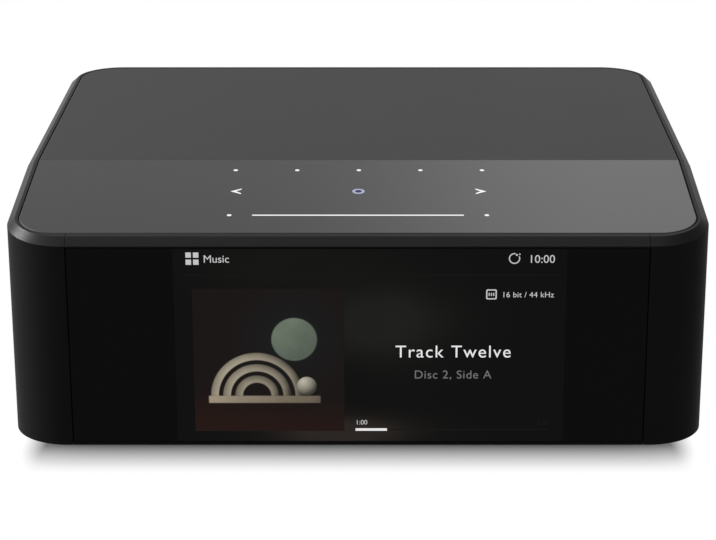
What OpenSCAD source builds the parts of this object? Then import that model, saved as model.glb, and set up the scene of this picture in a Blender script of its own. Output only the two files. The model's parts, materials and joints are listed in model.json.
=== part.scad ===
// Network music streamer: a low black box with a glass front, a sloped touch surface and a rear socket tray.
// Origin at the centre of the footprint on the table, front towards -Y, up is +Z, millimetres.

/* [Body] */
// Width across the side walls
body_w = 220; // [212:1:250]
// Depth from the display window to the rear wall
body_d = 194; // [186:1:230]
// Height from the table to the rear top
body_h = 84; // [80:1:100]
// Plan radius of the four upright corners
corner_r = 20; // [17:0.5:24]

/* [Rim] */
// Width of the bevel round the top edge, seen from above
bevel_in = 2.5; // [1.8:0.1:3.2]
// Height of that bevel
bevel_drop = 2.2; // [1.6:0.1:3]
// Flat land inside the bevel along the sides and the back
side_land = 0.9; // [0.6:0.1:1.6]
// Flat land inside the bevel along the front
front_land = 2.7; // [2.2:0.1:3.2]
// How much lower the front rim lies than the rear rim
front_drop = 7.2; // [4:0.1:9]
// Depth of the sloped touch surface
slope_run = 62.9; // [58:0.1:70]
// Gap round the touch glass
glass_gap = 0.6; // [0.3:0.1:0.9]
// Gap round the top cover
cover_gap = 0.4; // [0.2:0.1:0.8]
// Gap at the two front seams and at the crease
seam_gap = 0.3; // [0.2:0.05:0.5]

/* [Panels] */
// Thickness of the touch glass and of the top cover
panel_t = 2; // [1.5:0.1:3]
// Plan radius of the touch glass at its front corners
glass_corner_r = 15; // [10:0.5:18]
// Thickness of the carrier under both panels
carrier_t = 3; // [2.6:0.1:4]
// Thickness of the display window
window_t = 2; // [1.4:0.1:2.4]

/* [Display] */
// Width of the lit screen
screen_w = 121; // [100:1:130]
// How far the screen sits to the right of the middle
screen_shift = 4; // [0:0.5:8]
// Border of the LCD module beside the screen
lcd_border = 2.5; // [1.5:0.1:4]
// Border of the LCD module above and below the screen
lcd_edge = 1; // [0.6:0.1:2]
// Thickness of the LCD module
lcd_t = 4.5; // [3.8:0.1:6]
// Height of the bezel's lower lip
lip_h = 1; // [0.8:0.1:1.6]
// Thickness of the gasket behind the display window
gasket_t = 0.3; // [0.2:0.05:0.4]

/* [Base] */
// Height of the rubber feet
foot_h = 5; // [3:0.5:8]
// Diameter of the rubber feet
foot_d = 18; // [14:1:24]
// Foot centre to the outside of the body, both ways
foot_in = 30; // [26:1:40]
// Depth of the base pan below the walls
base_drop = 3.6; // [3:0.1:6]
// Base pan to the outside of the body
base_inset = 12; // [11.5:0.5:15]
// Sheet of the base pan
sheet_t = 1.2; // [1:0.1:2]
// Vent slots in each of the two rows
vent_count = 15; // [5:1:17]
// Spacing of the vent slots
vent_pitch = 6; // [5:0.5:7]

/* [Rear tray] */
// Depth of the socket tray behind the rear wall
tray_recess = 10; // [9.5:0.5:14]
// Sheet of the socket tray
tray_t = 1.5; // [1:0.1:2]
// Rear wall left above the tray
beam_top = 9.4; // [8:0.2:11]
// Rear wall left below the tray
beam_low = 5; // [4.8:0.2:7]
// Rear wall left beside the tray, up to the corner
beam_side = 6; // [5.6:0.2:8]

/* [Boards] */
// Thickness of the circuit boards
board_t = 1.6; // [1.2:0.1:2]
// Standoff height under the main and power boards
main_lift = 11.2; // [9:0.2:13]
// Standoff height between the main and analogue boards
analog_lift = 18; // [17:0.5:20]
// Front edge of the boards behind the display window
board_front = 66; // [64:1:72]
// Width of the power board
power_w = 46; // [42:1:48]

/* [Sockets] */
// Space between the last socket of the lower row and the side of the tray
row_end = 4.2; // [3.6:0.1:8]
// Clearance round a socket in its tray hole
socket_fit = 0.3; // [0.2:0.05:0.5]
// Outer radius of a phono barrel
phono_r = 4.15; // [3.8:0.05:4.4]
// Length of a phono barrel outside the tray
phono_out = 8.5; // [7:0.1:9]
// Radius of a phono centre contact
phono_bore = 1.7; // [1.5:0.05:1.9]
// Inner radius of a balanced output's cup
cup_r = 8.2; // [7.8:0.1:8.6]
// Radius of a minijack bore
minijack_bore = 1.8; // [1.7:0.05:2]
// Radius of a headphone bore
phones_bore = 3.25; // [3.1:0.05:3.4]
// Headphone sockets behind the display window
phones_back = 42; // [38:1:46]
// Opening angle of the optical shutters
shutter_open = 0; // [0:1:85]

/* [Hidden] */
$fn = 64;

// Shared small clearances
fit = 0.3;
touch = 0.1;
far = 400;

// Body planes
front_y = -body_d / 2;
rear_y = body_d / 2;
wall_z = foot_h + base_drop;
side_wall = bevel_in + side_land;
seam_x = body_w / 2 - corner_r;
crease_y = front_y + slope_run;
tilt = atan(front_drop / slope_run);
slope_len = (slope_run + bevel_drop * sin(tilt)) / cos(tilt);
edge_z = body_h - front_drop - bevel_drop;

// Height of the roof at depth y, set down square to it by off
function roof_z(y, off) =
    min(body_h - off, body_h - (crease_y - y) * tan(tilt) - off / cos(tilt));

// Front assembly, as depths behind the display window's face
bezel_d = bevel_in + front_land;
bezel_x = seam_x - seam_gap;
brow = 0.5;
window_z0 = wall_z + lip_h;
window_z1 = edge_z - brow;
pocket_d = window_t + gasket_t;
screen_x0 = screen_shift - screen_w / 2;
screen_x1 = screen_shift + screen_w / 2;
lcd_x0 = screen_x0 - lcd_border;
lcd_x1 = screen_x1 + lcd_border;
lcd_z0 = window_z0 + fit;
lcd_z1 = edge_z - touch;
lcd_back = window_t + lcd_t;
bracket_t = 1;
bracket_back = lcd_back + bracket_t;
bracket_z0 = wall_z + 6;
bracket_z1 = lcd_z1 - 4;
boss_h = 1.5;
display_pcb_t = 1.2;
display_pcb_y = bracket_back + boss_h;
display_pcb_z0 = wall_z + 22;
display_pcb_h = 34;
display_pcb_w = 60;
ir_x = -(seam_x - 15);
ir_z = window_z1 - 15.5;
ir_r = 3.6;
tab_x = seam_x - 7;
tab_r = 1;
tab_core = 1.05;
bracket_spots = [for (s = [-1, 1], z = [bracket_z0 + 6, bracket_z1 - 6]) [s * tab_x, z]];

// Carrier and touch stack, as depths under the roof
carrier_y = front_y + bracket_back + 0.7;
guide_t = 0.8;
touch_pcb_t = 1;
stack_t = panel_t + guide_t + touch_pcb_t;
stack_w = 104;
stack_y0 = carrier_y + 5;
stack_y1 = crease_y - 4;
stack_r = 4;
shelf = 5;
carrier_low = panel_t + carrier_t;
mark_pitch = 20.2;
preset_y = crease_y - 8.2;
skip_y = crease_y - 25.4;
volume_y = crease_y - 44;
marks = concat([for (i = [-2:2]) [i * mark_pitch, preset_y]],
               [for (i = [-2, 0, 2]) [i * mark_pitch, skip_y]],
               [for (i = [-2, 2]) [i * mark_pitch, volume_y]]);

// Screw ports of the wrap, one set per side
port_r = 4;
port_bite = 0.6;
port_reach = corner_r - side_wall - port_r + port_bite;
port_k = port_reach / sqrt(2);
port_mid_x = body_w / 2 - side_wall - port_r + port_bite;
ports = [for (s = [-1, 1], p = [[seam_x + port_k, front_y + corner_r - port_k], [port_mid_x, 0],
                                [seam_x + port_k, rear_y - corner_r + port_k]]) [s * p[0], p[1]]];
m3 = 1.5;
m3_head_r = 2.75;
m3_head_h = 1.8;
m3_core = 1.55;
base_screw_l = 10;
carrier_screw_l = 9;
screw_seat = m3_head_h + 0.5;

// Base, boards and tray planes
pan_floor = foot_h + sheet_t;
main_z = pan_floor + main_lift;
main_top = main_z + board_t;
analog_z = main_top + analog_lift;
analog_top = analog_z + board_t;
feet = [for (x = [-1, 1], y = [-1, 1]) [x * (body_w / 2 - foot_in), y * (body_d / 2 - foot_in)]];
tray_y = rear_y - tray_recess;
tray_in = tray_y - tray_t;
open_w = 2 * (seam_x - beam_side);
open_z0 = wall_z + beam_low;
open_z1 = body_h - beam_top;
open_r = 4;
tray_flange = 3;
lug_x = seam_x - beam_side / 2;
lug_h = 10;
lug_rows = [open_z0 + 10, open_z1 - 10];
tray_screw_l = 6;

// Board outlines
board_y0 = front_y + board_front;
board_y1 = tray_in - 2 * touch;
edge_clear = 18;
power_x0 = -body_w / 2 + edge_clear;
power_x1 = power_x0 + power_w;
main_x0 = power_x1 + 4;
main_x1 = body_w / 2 - edge_clear - 4;
analog_x0 = main_x0 + 2;
analog_x1 = main_x1 - 2;
analog_y0 = board_y1 - 58;
post_r = 2.8;
post_in = 5;
post_rear = 27;
main_posts = [for (x = [main_x0 + post_in, main_x1 - post_in], y = [board_y0 + post_in, board_y1 - post_rear])
              [x, y]];
power_posts = [for (x = [power_x0 + post_in, power_x1 - post_in],
                    y = [board_y0 + post_in, board_y1 - post_rear]) [x, y]];
analog_posts = [for (x = [analog_x0 + 12, analog_x1 - 12], y = [analog_y0 + post_in, board_y1 - post_rear])
                [x, y]];
phones_y = front_y + phones_back;
phones_in = 32;
phones_x0 = body_w / 2 - side_wall - phones_in;
phones_pcb = [phones_x0 + 1, body_w / 2 - side_wall - 2];
phones_span = 17;
phones_posts = [for (s = [-1, 1], y = [-1, 1]) [s * (phones_x0 + 14), phones_y + y * (phones_span - 4)]];
phones_lift = 9;
phones_z = main_top + phones_lift;
phones_nose = 5;

// Pieces on the boards and under the carrier
touch_flex_x = 30;
touch_plug_y = stack_y1 - shelf - 5;
touch_plug_h = 2;
shield = [34, 28, 3];
shield_at = [main_x0 + 58, board_y0 + 12, main_top];
wireless = [20, 14, 2.4];
wireless_at = [main_x0 + 14, board_y0 + 8, main_top];
antenna_x = seam_x - 6;
antenna_y = front_y + 30;
antenna_t = 0.8;

// Socket rows along the tray, from the left edge of the main board
video_w = 15;
network_w = 16;
usb_w = 14.5;
optical_w = 10.4;
phono_w = 11;
minijack_w = 8;
balanced_w = 26;
low_w = [video_w, network_w, usb_w, optical_w, optical_w, phono_w, minijack_w, minijack_w];
high_w = [phono_w, phono_w, phono_w, balanced_w, balanced_w];
low_x0 = main_x0 + 4;
high_x0 = main_x0 + 10;
function total(w, n) = n == 0 ? 0 : w[n - 1] + total(w, n - 1);
socket_gap = (open_w / 2 - row_end - low_x0 - total(low_w, len(low_w))) / (len(low_w) - 1);
function row_x(w, n, x0) = x0 + total(w, n) + n * socket_gap + w[n] / 2;
low_x = [for (i = [0:len(low_w) - 1]) row_x(low_w, i, low_x0)];
high_x = [for (i = [0:len(high_w) - 1]) row_x(high_w, i, high_x0)];
video_x = low_x[0];
network_x = low_x[1];
usb_x = low_x[2];
optical_x = [low_x[3], low_x[4]];
minijack_x = [low_x[6], low_x[7]];
balanced_x = [high_x[3], high_x[4]];
phono_axis = 9;
phono_wall = 0.7;
phonos = [[low_x[5], main_top], [high_x[0], analog_top], [high_x[1], analog_top], [high_x[2], analog_top]];
balanced_axis = 12.5;
balanced_z = analog_top + balanced_axis;
balanced_h = 31;
cup_wall = 2;
cup_deep = 15;
balanced_flange = 1.8;
flange_spots = [[-9.5, 12], [9.5, -12]];
m2 = 1.2;
m2_core = 1.25;
m2_head_r = 2.2;
m2_head_h = 1.3;
inlet_x = (power_x0 + power_x1) / 2;
inlet_axis = 9;
inlet_z = main_top + inlet_axis;
inlet_pitch = 8.6;
inlet_flange = 1.6;
inlet_deep = 13;
inlet_body = [21, 14];
inlet_l = 18;
minijack_axis = 3.7;
minijack_nose = 3;
network_h = 13.5;
usb_z = 0.4;
usb_h = 6.2;
video_h = 6;

// Power parts, in a row from the front of their board back to the mains inlet
can_r = 7;
can_h = 24;
small_can_r = 4.2;
small_can_h = 16;
core = [30, 28, 22];
coil_over = 4;
fuse_d = 6;
power_d = [2 * can_r, core[1] + 2 * coil_over, 2 * small_can_r, fuse_d];
power_gap = (tray_y - inlet_l - board_y0 - total(power_d, len(power_d))) / (len(power_d) + 1);
power_y = [for (i = [0:len(power_d) - 1])
           board_y0 + total(power_d, i) + (i + 1) * power_gap + power_d[i] / 2];

// Optical socket, from the tray's face and the board's top
optical_h = 11;
optical_deep = 13;
optical_lip = 0.5;
optical_hole = [8.4, 8];
optical_floor = 1.4;
optical_back = 10.4;
hinge_in = 1.6;
hinge_z = optical_floor + optical_hole[1] - 0.9;
hinge_r = 0.5;
hinge_hole = 0.62;
hinge_stub = 0.7;
flap_t = 0.9;
flap_side = 0.3;
flap_low = optical_floor + 0.4;

// Box between two corners
module block(a, b) translate(a) cube(b - a);

// Rectangle with round corners, centred
module rounded(w, d, r) {
    square([w - 2 * r, d], center = true);
    square([w, d - 2 * r], center = true);
    for (x = [-1, 1], y = [-1, 1]) translate([x * (w / 2 - r), y * (d / 2 - r)]) circle(r);
}

// Slot with round ends, centred, along x
module slot(length, width) {
    square([length - width, width], center = true);
    for (s = [-1, 1]) translate([s * (length - width) / 2, 0]) circle(d = width);
}

// Plan of the body, set in all round
module plan(inset) rounded(body_w - 2 * inset, body_d - 2 * inset, corner_r - inset);

// Outline drawn in x and z, extruded between two depths
module across(y0, y1) translate([0, y1, 0]) rotate([90, 0, 0]) linear_extrude(y1 - y0) children();

// Round bar along y between two depths
module rod(x, z, y0, y1, r) translate([x, y1, z]) rotate([90, 0, 0]) cylinder(r = r, h = y1 - y0);

// Everything under the two roof planes, set down by off
module under_roof(off) {
    intersection() {
        translate([-far, -far, body_h - off - far]) cube([2 * far, 2 * far, far]);
        translate([0, crease_y, body_h]) rotate([tilt, 0, 0])
            translate([-far, -far, -off - far]) cube([2 * far, 2 * far, far]);
    }
}

// Layer of an upright prism between two depths under the roof
module layer(a, b) {
    difference() {
        intersection() {
            children();
            under_roof(a);
        }
        under_roof(b);
    }
}

// Upright prism of a plan outline, tall enough to reach the roof
module upright() translate([0, 0, wall_z]) linear_extrude(body_h) children();

// Section cut away by the bevel: x runs inwards from the wall, y is height over the top plane
module bevel_section() {
    over = 3;
    polygon([[-over, -bevel_drop * (1 + over / bevel_in)], [bevel_in * (1 + over / bevel_drop), over],
             [-over, over]]);
}

// Bevel cutter round one end of the plan, whose end edge lies at y = -run, with sides up to y = run_on
module bevel_cutter(run, run_on) {
    for (s = [0, 1]) mirror([s, 0, 0]) {
        translate([body_w / 2, run_on, 0]) rotate([90, 0, 0]) linear_extrude(run - corner_r + run_on)
            mirror([1, 0, 0]) bevel_section();
        translate([seam_x, corner_r - run, 0]) rotate([0, 0, -90]) rotate_extrude(angle = 90)
            translate([corner_r, 0]) mirror([1, 0, 0]) bevel_section();
    }
    translate([-seam_x, -run, 0]) rotate([90, 0, 90]) linear_extrude(2 * seam_x) bevel_section();
}

// Outside form of the casing, level at the back and sloped at the front, bevelled all round
module outer_form() {
    run_on = 5;
    difference() {
        intersection() {
            upright() plan(0);
            under_roof(0);
        }
        translate([0, 0, body_h]) rotate([0, 0, 180]) bevel_cutter(body_d / 2, run_on - crease_y);
        translate([0, crease_y, body_h]) rotate([tilt, 0, 0]) bevel_cutter(slope_len, run_on);
    }
}

// Plan of the touch glass, grown at its front and sides
module glass_outline(grow) {
    half = body_w / 2 - side_wall - glass_gap + grow;
    y0 = front_y + bezel_d + glass_gap - grow;
    y1 = crease_y - seam_gap / 2;
    r = glass_corner_r + grow;
    translate([-half, y0 + r]) square([2 * half, y1 - y0 - r]);
    translate([r - half, y0]) square([2 * (half - r), y1 - y0]);
    for (s = [-1, 1]) translate([s * (half - r), y0 + r]) circle(r);
}

// Land of the front corners, which narrows from the bezel's land to the side's
module corner_lands() {
    intersection() {
        outer_form();
        layer(-1, panel_t) upright() difference() {
            for (s = [-1, 1]) translate([s * (seam_x + corner_r / 2), front_y + corner_r / 2])
                square(corner_r, center = true);
            glass_outline(glass_gap);
        }
    }
}

// Hex-socket screw with its head's seat at z = 0 and its shank pointing down
module screw(r, head_r, head_h, length) {
    difference() {
        union() {
            cylinder(r = head_r, h = head_h);
            translate([0, 0, -length]) cylinder(r = r, h = length);
        }
        translate([0, 0, head_h * 0.4]) cylinder(r = head_r * 0.5, h = head_h, $fn = 6);
    }
}

// Outline of the rear opening, grown all round
module rear_outline(grow) {
    translate([0, (open_z0 + open_z1) / 2])
        rounded(open_w + 2 * grow, open_z1 - open_z0 + 2 * grow, open_r + grow);
}

// Casing

module wrap_shell() {
    port_z0 = wall_z + sheet_t;
    color("#1c1c1e") difference() {
        union() {
            difference() {
                outer_form();
                upright() plan(side_wall);
                block([-seam_x, front_y - 1, wall_z - 1], [seam_x, front_y + corner_r, body_h]);
                across(rear_y - side_wall - 1, rear_y + 1) rear_outline(0);
            }
            corner_lands();
            intersection() {
                for (p = ports) translate([p[0], p[1], port_z0]) cylinder(r = port_r, h = body_h);
                under_roof(carrier_low);
            }
        }
        for (p = ports) translate([p[0], p[1], wall_z]) cylinder(r = m3_core, h = body_h);
        for (s = [-1, 1]) translate([s * body_w / 2, phones_y, phones_z]) rotate([0, -90 * s, 0])
            translate([0, 0, -1]) cylinder(r = phones_nose + fit, h = side_wall + 2);
        for (s = [-1, 1], z = lug_rows) translate([s * lug_x, rear_y, z]) rotate([90, 0, 0]) {
            translate([0, 0, -1]) cylinder(r = m3_core, h = side_wall + 2);
            translate([0, 0, -1]) cylinder(r = m3_head_r + touch, h = m3_head_h + 1 + 2 * touch);
        }
    }
}

module front_bezel() {
    color("#232325") difference() {
        intersection() {
            outer_form();
            block([-bezel_x, front_y - 1, 0], [bezel_x, front_y + bezel_d, body_h]);
        }
        block([-seam_x, front_y - 1, window_z0], [seam_x, front_y + pocket_d, window_z1]);
        block([lcd_x0 - fit, front_y + window_t, window_z0],
              [lcd_x1 + fit, front_y + bezel_d + 1, lcd_z1 + fit]);
        rod(ir_x, ir_z, front_y + 1, front_y + bezel_d + 1, ir_r + fit);
        for (p = bracket_spots) rod(p[0], p[1], front_y + pocket_d + 0.5, front_y + bezel_d + 1, tab_core);
    }
}

module display_window() {
    color("#08080a") block([-bezel_x, front_y, window_z0 + touch],
                           [bezel_x, front_y + window_t, window_z1 - touch]);
}

module touch_glass() color("#101013") layer(0, panel_t) upright() glass_outline(0);

module top_cover() {
    cover_in = side_wall + cover_gap;
    color("#2a2a2c") layer(0, panel_t) upright() intersection() {
        plan(cover_in);
        translate([-far, crease_y + seam_gap / 2]) square([2 * far, far]);
    }
}

module top_carrier() {
    well_y0 = crease_y + 16;
    well_y1 = rear_y - 26;
    color("#303030") difference() {
        layer(panel_t, carrier_low) upright() intersection() {
            plan(side_wall + fit);
            translate([-far, carrier_y]) square([2 * far, far]);
        }
        intersection() {
            upright() touch_stack_outline(fit);
            difference() {
                under_roof(0);
                under_roof(stack_t);
            }
        }
        upright() touch_stack_outline(-shelf);
        upright() translate([0, (well_y0 + well_y1) / 2]) rounded(body_w - 60, well_y1 - well_y0, 6);
        for (p = ports) translate([p[0], p[1], 0]) {
            cylinder(r = m3_core + touch, h = body_h);
            translate([0, 0, roof_z(p[1] - m3_head_r, panel_t) - screw_seat])
                cylinder(r = m3_head_r + fit, h = body_h);
        }
    }
}

module base_pan() {
    vent_l = 28;
    vent_w = 2.4;
    color("#2b2b2d") difference() {
        union() {
            translate([0, 0, wall_z]) linear_extrude(sheet_t) difference() {
                plan(side_wall + fit);
                translate([-seam_x, front_y]) square([2 * seam_x, bezel_d + fit]);
            }
            translate([0, 0, foot_h]) linear_extrude(base_drop + sheet_t / 2) plan(base_inset);
        }
        translate([0, 0, pan_floor]) linear_extrude(base_drop + sheet_t) plan(base_inset + sheet_t);
        for (y = [-1, 1], i = [0:vent_count - 1])
            translate([(i - (vent_count - 1) / 2) * vent_pitch, y * (vent_l / 2 + 6), foot_h - 1])
                linear_extrude(sheet_t + 2) rotate(90) slot(vent_l, vent_w);
        for (p = ports) translate([p[0], p[1], wall_z - 1]) cylinder(r = m3_core + touch, h = sheet_t + 2);
        for (p = feet) translate([p[0], p[1], foot_h - 1]) cylinder(r = m3_core, h = sheet_t + 2);
    }
}

module rubber_feet() {
    r = foot_d / 2;
    edge = 0.8;
    head_room = m3_head_h + 0.6;
    color("#151515") for (p = feet) translate([p[0], p[1], 0]) rotate_extrude()
        polygon([[m3_head_r + fit, 0], [r - 2 * edge, 0], [r - edge, edge], [r, foot_h],
                 [m3_core + touch, foot_h], [m3_core + touch, head_room], [m3_head_r + fit, head_room]]);
}

module foot_screws() {
    color("silver") for (p = feet) translate([p[0], p[1], m3_head_h + 0.6]) mirror([0, 0, 1])
        screw(m3, m3_head_r, m3_head_h, foot_h + sheet_t + 0.6 - m3_head_h);
}

module base_screws() {
    color("silver") for (p = ports) translate([p[0], p[1], wall_z]) mirror([0, 0, 1])
        screw(m3, m3_head_r, m3_head_h, base_screw_l);
}

module carrier_screws() {
    color("silver") for (p = ports) translate([p[0], p[1], roof_z(p[1] - m3_head_r, panel_t) - screw_seat])
        screw(m3, m3_head_r, m3_head_h, carrier_screw_l);
}

module rear_tray() {
    color("#202022") difference() {
        union() {
            across(tray_in, rear_y - side_wall) rear_outline(tray_t);
            across(rear_y - side_wall - tray_t, rear_y - side_wall) rear_outline(tray_flange);
            for (s = [-1, 1], z = lug_rows) translate([s * lug_x, rear_y - side_wall - tray_t / 2, z])
                cube([beam_side, tray_t, lug_h], center = true);
        }
        across(tray_y, rear_y) rear_outline(0);
        for (s = [-1, 1], z = lug_rows) translate([s * lug_x, rear_y, z]) rotate([90, 0, 0])
            cylinder(r = m3_core, h = side_wall + tray_t + 1);
        across(tray_in - 1, tray_y + 1) socket_holes();
    }
}

// Holes for every socket, drawn in x and z
module socket_holes() {
    g = socket_fit;
    translate([video_x, main_top + video_h / 2]) square([video_w + 2 * g, video_h + 2 * g], center = true);
    translate([network_x, main_top + network_h / 2])
        square([network_w + 2 * g, network_h + 2 * g], center = true);
    translate([usb_x, main_top + usb_z + usb_h / 2]) square([usb_w + 2 * g, usb_h + 2 * g], center = true);
    for (x = optical_x) translate([x, main_top + optical_h / 2])
        square([optical_w + 2 * g, optical_h + 2 * g], center = true);
    for (x = minijack_x) translate([x, main_top + minijack_axis]) circle(minijack_nose + g);
    for (p = phonos) translate([p[0], p[1] + phono_axis]) circle(phono_r + g);
    for (x = balanced_x) translate([x, balanced_z]) {
        circle(cup_r + cup_wall + g);
        for (p = flange_spots) translate(p) circle(m2_core);
    }
    translate([inlet_x, inlet_z]) rounded(inlet_body[0] + 2 * g, inlet_body[1] + 2 * g, 2);
}

// Screws of the tray's lugs and of the balanced outputs' flanges
module rear_screws() {
    color("#111111") {
        for (s = [-1, 1], z = lug_rows) translate([s * lug_x, rear_y - m3_head_h - touch, z])
            rotate([-90, 0, 0]) screw(m3, m3_head_r, m3_head_h, tray_screw_l);
        for (x = balanced_x, p = flange_spots) at_tray(x + p[0], balanced_z + p[1])
            translate([0, balanced_flange, 0]) rotate([-90, 0, 0])
                screw(m2, m2_head_r, m2_head_h, balanced_flange + tray_t);
    }
}

// Display

module display_gasket() {
    inset = 0.4;
    color("#0d0d0d") difference() {
        block([-bezel_x + inset, front_y + window_t, window_z0 + inset],
              [bezel_x - inset, front_y + pocket_d, window_z1 - inset]);
        block([lcd_x0 - fit, front_y, wall_z], [lcd_x1 + fit, front_y + bezel_d, body_h]);
        rod(ir_x, ir_z, front_y, front_y + bezel_d, ir_r);
    }
}

// LCD module: the lit screen bonded to the window, its cell and its back frame
module lcd_module() {
    film_t = 0.2;
    cell_t = 1.6;
    frame_in = 0.5;
    color("#1a1d22") {
        block([screen_x0, front_y + window_t, lcd_z0 + lcd_edge],
              [screen_x1, front_y + window_t + film_t, lcd_z1 - lcd_edge]);
        block([lcd_x0, front_y + window_t + film_t, lcd_z0], [lcd_x1, front_y + window_t + cell_t, lcd_z1]);
        block([lcd_x0 + frame_in, front_y + window_t + cell_t, lcd_z0 + frame_in],
              [lcd_x1 - frame_in, front_y + lcd_back, lcd_z1 - frame_in]);
    }
}

// Pressed bracket: a hat section that clamps the LCD module against the window
module display_bracket() {
    hat_x0 = lcd_x0 - 3;
    hat_x1 = lcd_x1 + 3;
    tab_end = seam_x - 3;
    boss_in = 4;
    boss_r = 2.5;
    ir_window_r = 8;
    b = bracket_t;
    color("#8a8d90") difference() {
        union() {
            translate([0, front_y, bracket_z0]) linear_extrude(bracket_z1 - bracket_z0)
                polygon([[-tab_end, bezel_d], [hat_x0 + b, bezel_d], [hat_x0 + b, lcd_back],
                         [hat_x1 - b, lcd_back], [hat_x1 - b, bezel_d], [tab_end, bezel_d],
                         [tab_end, bezel_d + b], [hat_x1, bezel_d + b], [hat_x1, bracket_back],
                         [hat_x0, bracket_back], [hat_x0, bezel_d + b], [-tab_end, bezel_d + b]]);
            for (s = [-1, 1], z = [boss_in, display_pcb_h - boss_in])
                rod(screen_shift + s * (display_pcb_w / 2 - boss_in), display_pcb_z0 + z,
                    front_y + bracket_back, front_y + display_pcb_y, boss_r);
        }
        for (p = bracket_spots) rod(p[0], p[1], front_y, front_y + bracket_back, tab_core + touch);
        rod(ir_x, ir_z, front_y, front_y + bracket_back, ir_window_r);
    }
}

module bracket_screws() {
    shank = bracket_t + bezel_d - pocket_d - 0.5;
    color("silver") for (p = bracket_spots) translate([p[0], front_y + bezel_d + bracket_t, p[1]])
        rotate([-90, 0, 0]) screw(tab_r, 1.9, 1.3, shank);
}

module display_board() {
    y0 = front_y + display_pcb_y;
    y1 = y0 + display_pcb_t;
    color("#1d5a36") {
        block([screen_shift - display_pcb_w / 2, y0, display_pcb_z0],
              [screen_shift + display_pcb_w / 2, y1, display_pcb_z0 + display_pcb_h]);
        block([screen_shift - 13, y1, display_pcb_z0 + 2], [screen_shift + 13, y1 + 2.4, display_pcb_z0 + 6]);
        block([screen_shift - 6, y1, display_pcb_z0 + 14], [screen_shift + 6, y1 + 1.2, display_pcb_z0 + 26]);
        for (s = [-1, 1], z = [10, 16, 22]) translate([screen_shift + s * 18, y1, display_pcb_z0 + z])
            block([-2, 0, 0], [2, 1.6, 3]);
    }
}

// Share of an eased move, for the ribbons and leads
function ease(t) = (1 - cos(180 * t)) / 2;

module display_flex() {
    steps = 12;
    flex_t = 0.3;
    y0 = front_y + display_pcb_y + display_pcb_t + 2.4;
    y1 = board_y0 + 2;
    z0 = display_pcb_z0 + 4;
    z1 = main_top + 1.2;
    path = [for (i = [0:steps]) [y0 + (y1 - y0) * i / steps, z0 + (z1 - z0) * ease(i / steps)]];
    color("#d8d4c4") translate([screen_shift - 10, 0, 0]) rotate([90, 0, 90]) linear_extrude(20)
        polygon(concat([for (p = path) p + [0, flex_t / 2]],
                       [for (i = [steps:-1:0]) path[i] - [0, flex_t / 2]]));
}

module ir_receiver() {
    pcb_t = 1;
    color("#3a1c22") {
        rod(ir_x, ir_z, front_y + window_t + touch, front_y + bezel_d, ir_r);
        block([ir_x - 5, front_y + bezel_d, ir_z - 5], [ir_x + 5, front_y + bezel_d + pcb_t, ir_z + 5]);
    }
}

// Touch surface

module touch_stack_outline(grow) {
    translate([0, (stack_y0 + stack_y1) / 2])
        rounded(stack_w + 2 * grow, stack_y1 - stack_y0 + 2 * grow, stack_r);
}

module light_guide() {
    color("#e8eef2") layer(panel_t, panel_t + guide_t) upright() touch_stack_outline(0);
}

module touch_board() {
    color("#1d5a36") {
        difference() {
            layer(panel_t + guide_t, stack_t) upright() touch_stack_outline(0);
            for (p = marks) translate([p[0], p[1], 0]) cylinder(r = 1.2, h = body_h);
        }
        layer(stack_t, stack_t + touch_plug_h) upright() translate([touch_flex_x, touch_plug_y])
            square([18, 4], center = true);
    }
}

module touch_flex() {
    steps = 12;
    flex_t = 0.3;
    width = 14;
    y1 = board_y0 + 4;
    z0 = roof_z(touch_plug_y, stack_t + touch_plug_h) - touch;
    z1 = main_top + 2.5;
    path = [for (i = [0:steps]) [touch_plug_y + (y1 - touch_plug_y) * ease(i / steps),
                                 z0 + (z1 - z0) * i / steps]];
    color("#d8d4c4") translate([touch_flex_x - width / 2, 0, 0]) rotate([90, 0, 90]) linear_extrude(width)
        polygon(concat([for (p = path) p + [flex_t / 2, 0]],
                       [for (i = [steps:-1:0]) path[i] - [flex_t / 2, 0]]));
}

// Boards

// Flat board with clearance holes at its posts
module board(a, b, z, holes) {
    difference() {
        block([a[0], a[1], z], [b[0], b[1], z + board_t]);
        for (p = holes) translate([p[0], p[1], z - 1]) cylinder(r = m3_core + touch, h = board_t + 2);
    }
}

module main_board() {
    chip_y = board_y0 + 46;
    color("#17503a") {
        board([main_x0, board_y0], [main_x1, board_y1], main_z, main_posts);
        block([screen_shift - 12, board_y0 + 2, main_top], [screen_shift + 12, board_y0 + 6, main_top + 2.4]);
        block([touch_flex_x - 9, board_y0 + 2, main_top], [touch_flex_x + 9, board_y0 + 6, main_top + 2.5]);
        for (i = [0:4]) block([main_x0 + 14 + 14 * i, chip_y, main_top],
                              [main_x0 + 22 + 14 * i, chip_y + 6, main_top + 1.4]);
    }
}

// Hex pillar between two levels, drilled for a screw from the top
module pillar(p, z0, z1) {
    translate([p[0], p[1], z0]) difference() {
        cylinder(r = post_r, h = z1 - z0, $fn = 6);
        translate([0, 0, 2]) cylinder(r = m3_core, h = z1 - z0);
    }
}

module board_standoffs() {
    color("#b9a15a") for (p = concat(main_posts, power_posts, phones_posts)) pillar(p, pan_floor, main_z);
}

module analog_standoffs() {
    color("#b9a15a") for (p = analog_posts) pillar(p, main_top, analog_z);
}

module board_screws() {
    color("silver") {
        for (p = concat(main_posts, power_posts, phones_posts)) translate([p[0], p[1], main_top])
            screw(m3, m3_head_r, m3_head_h, 6);
        for (p = analog_posts) translate([p[0], p[1], analog_top]) screw(m3, m3_head_r, m3_head_h, 6);
    }
}

module processor_shield() {
    lid = 0.4;
    color("#b8bcc0") difference() {
        block(shield_at, shield_at + shield);
        block(shield_at + [lid, lid, -1], shield_at + shield - [lid, lid, lid]);
    }
}

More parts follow.
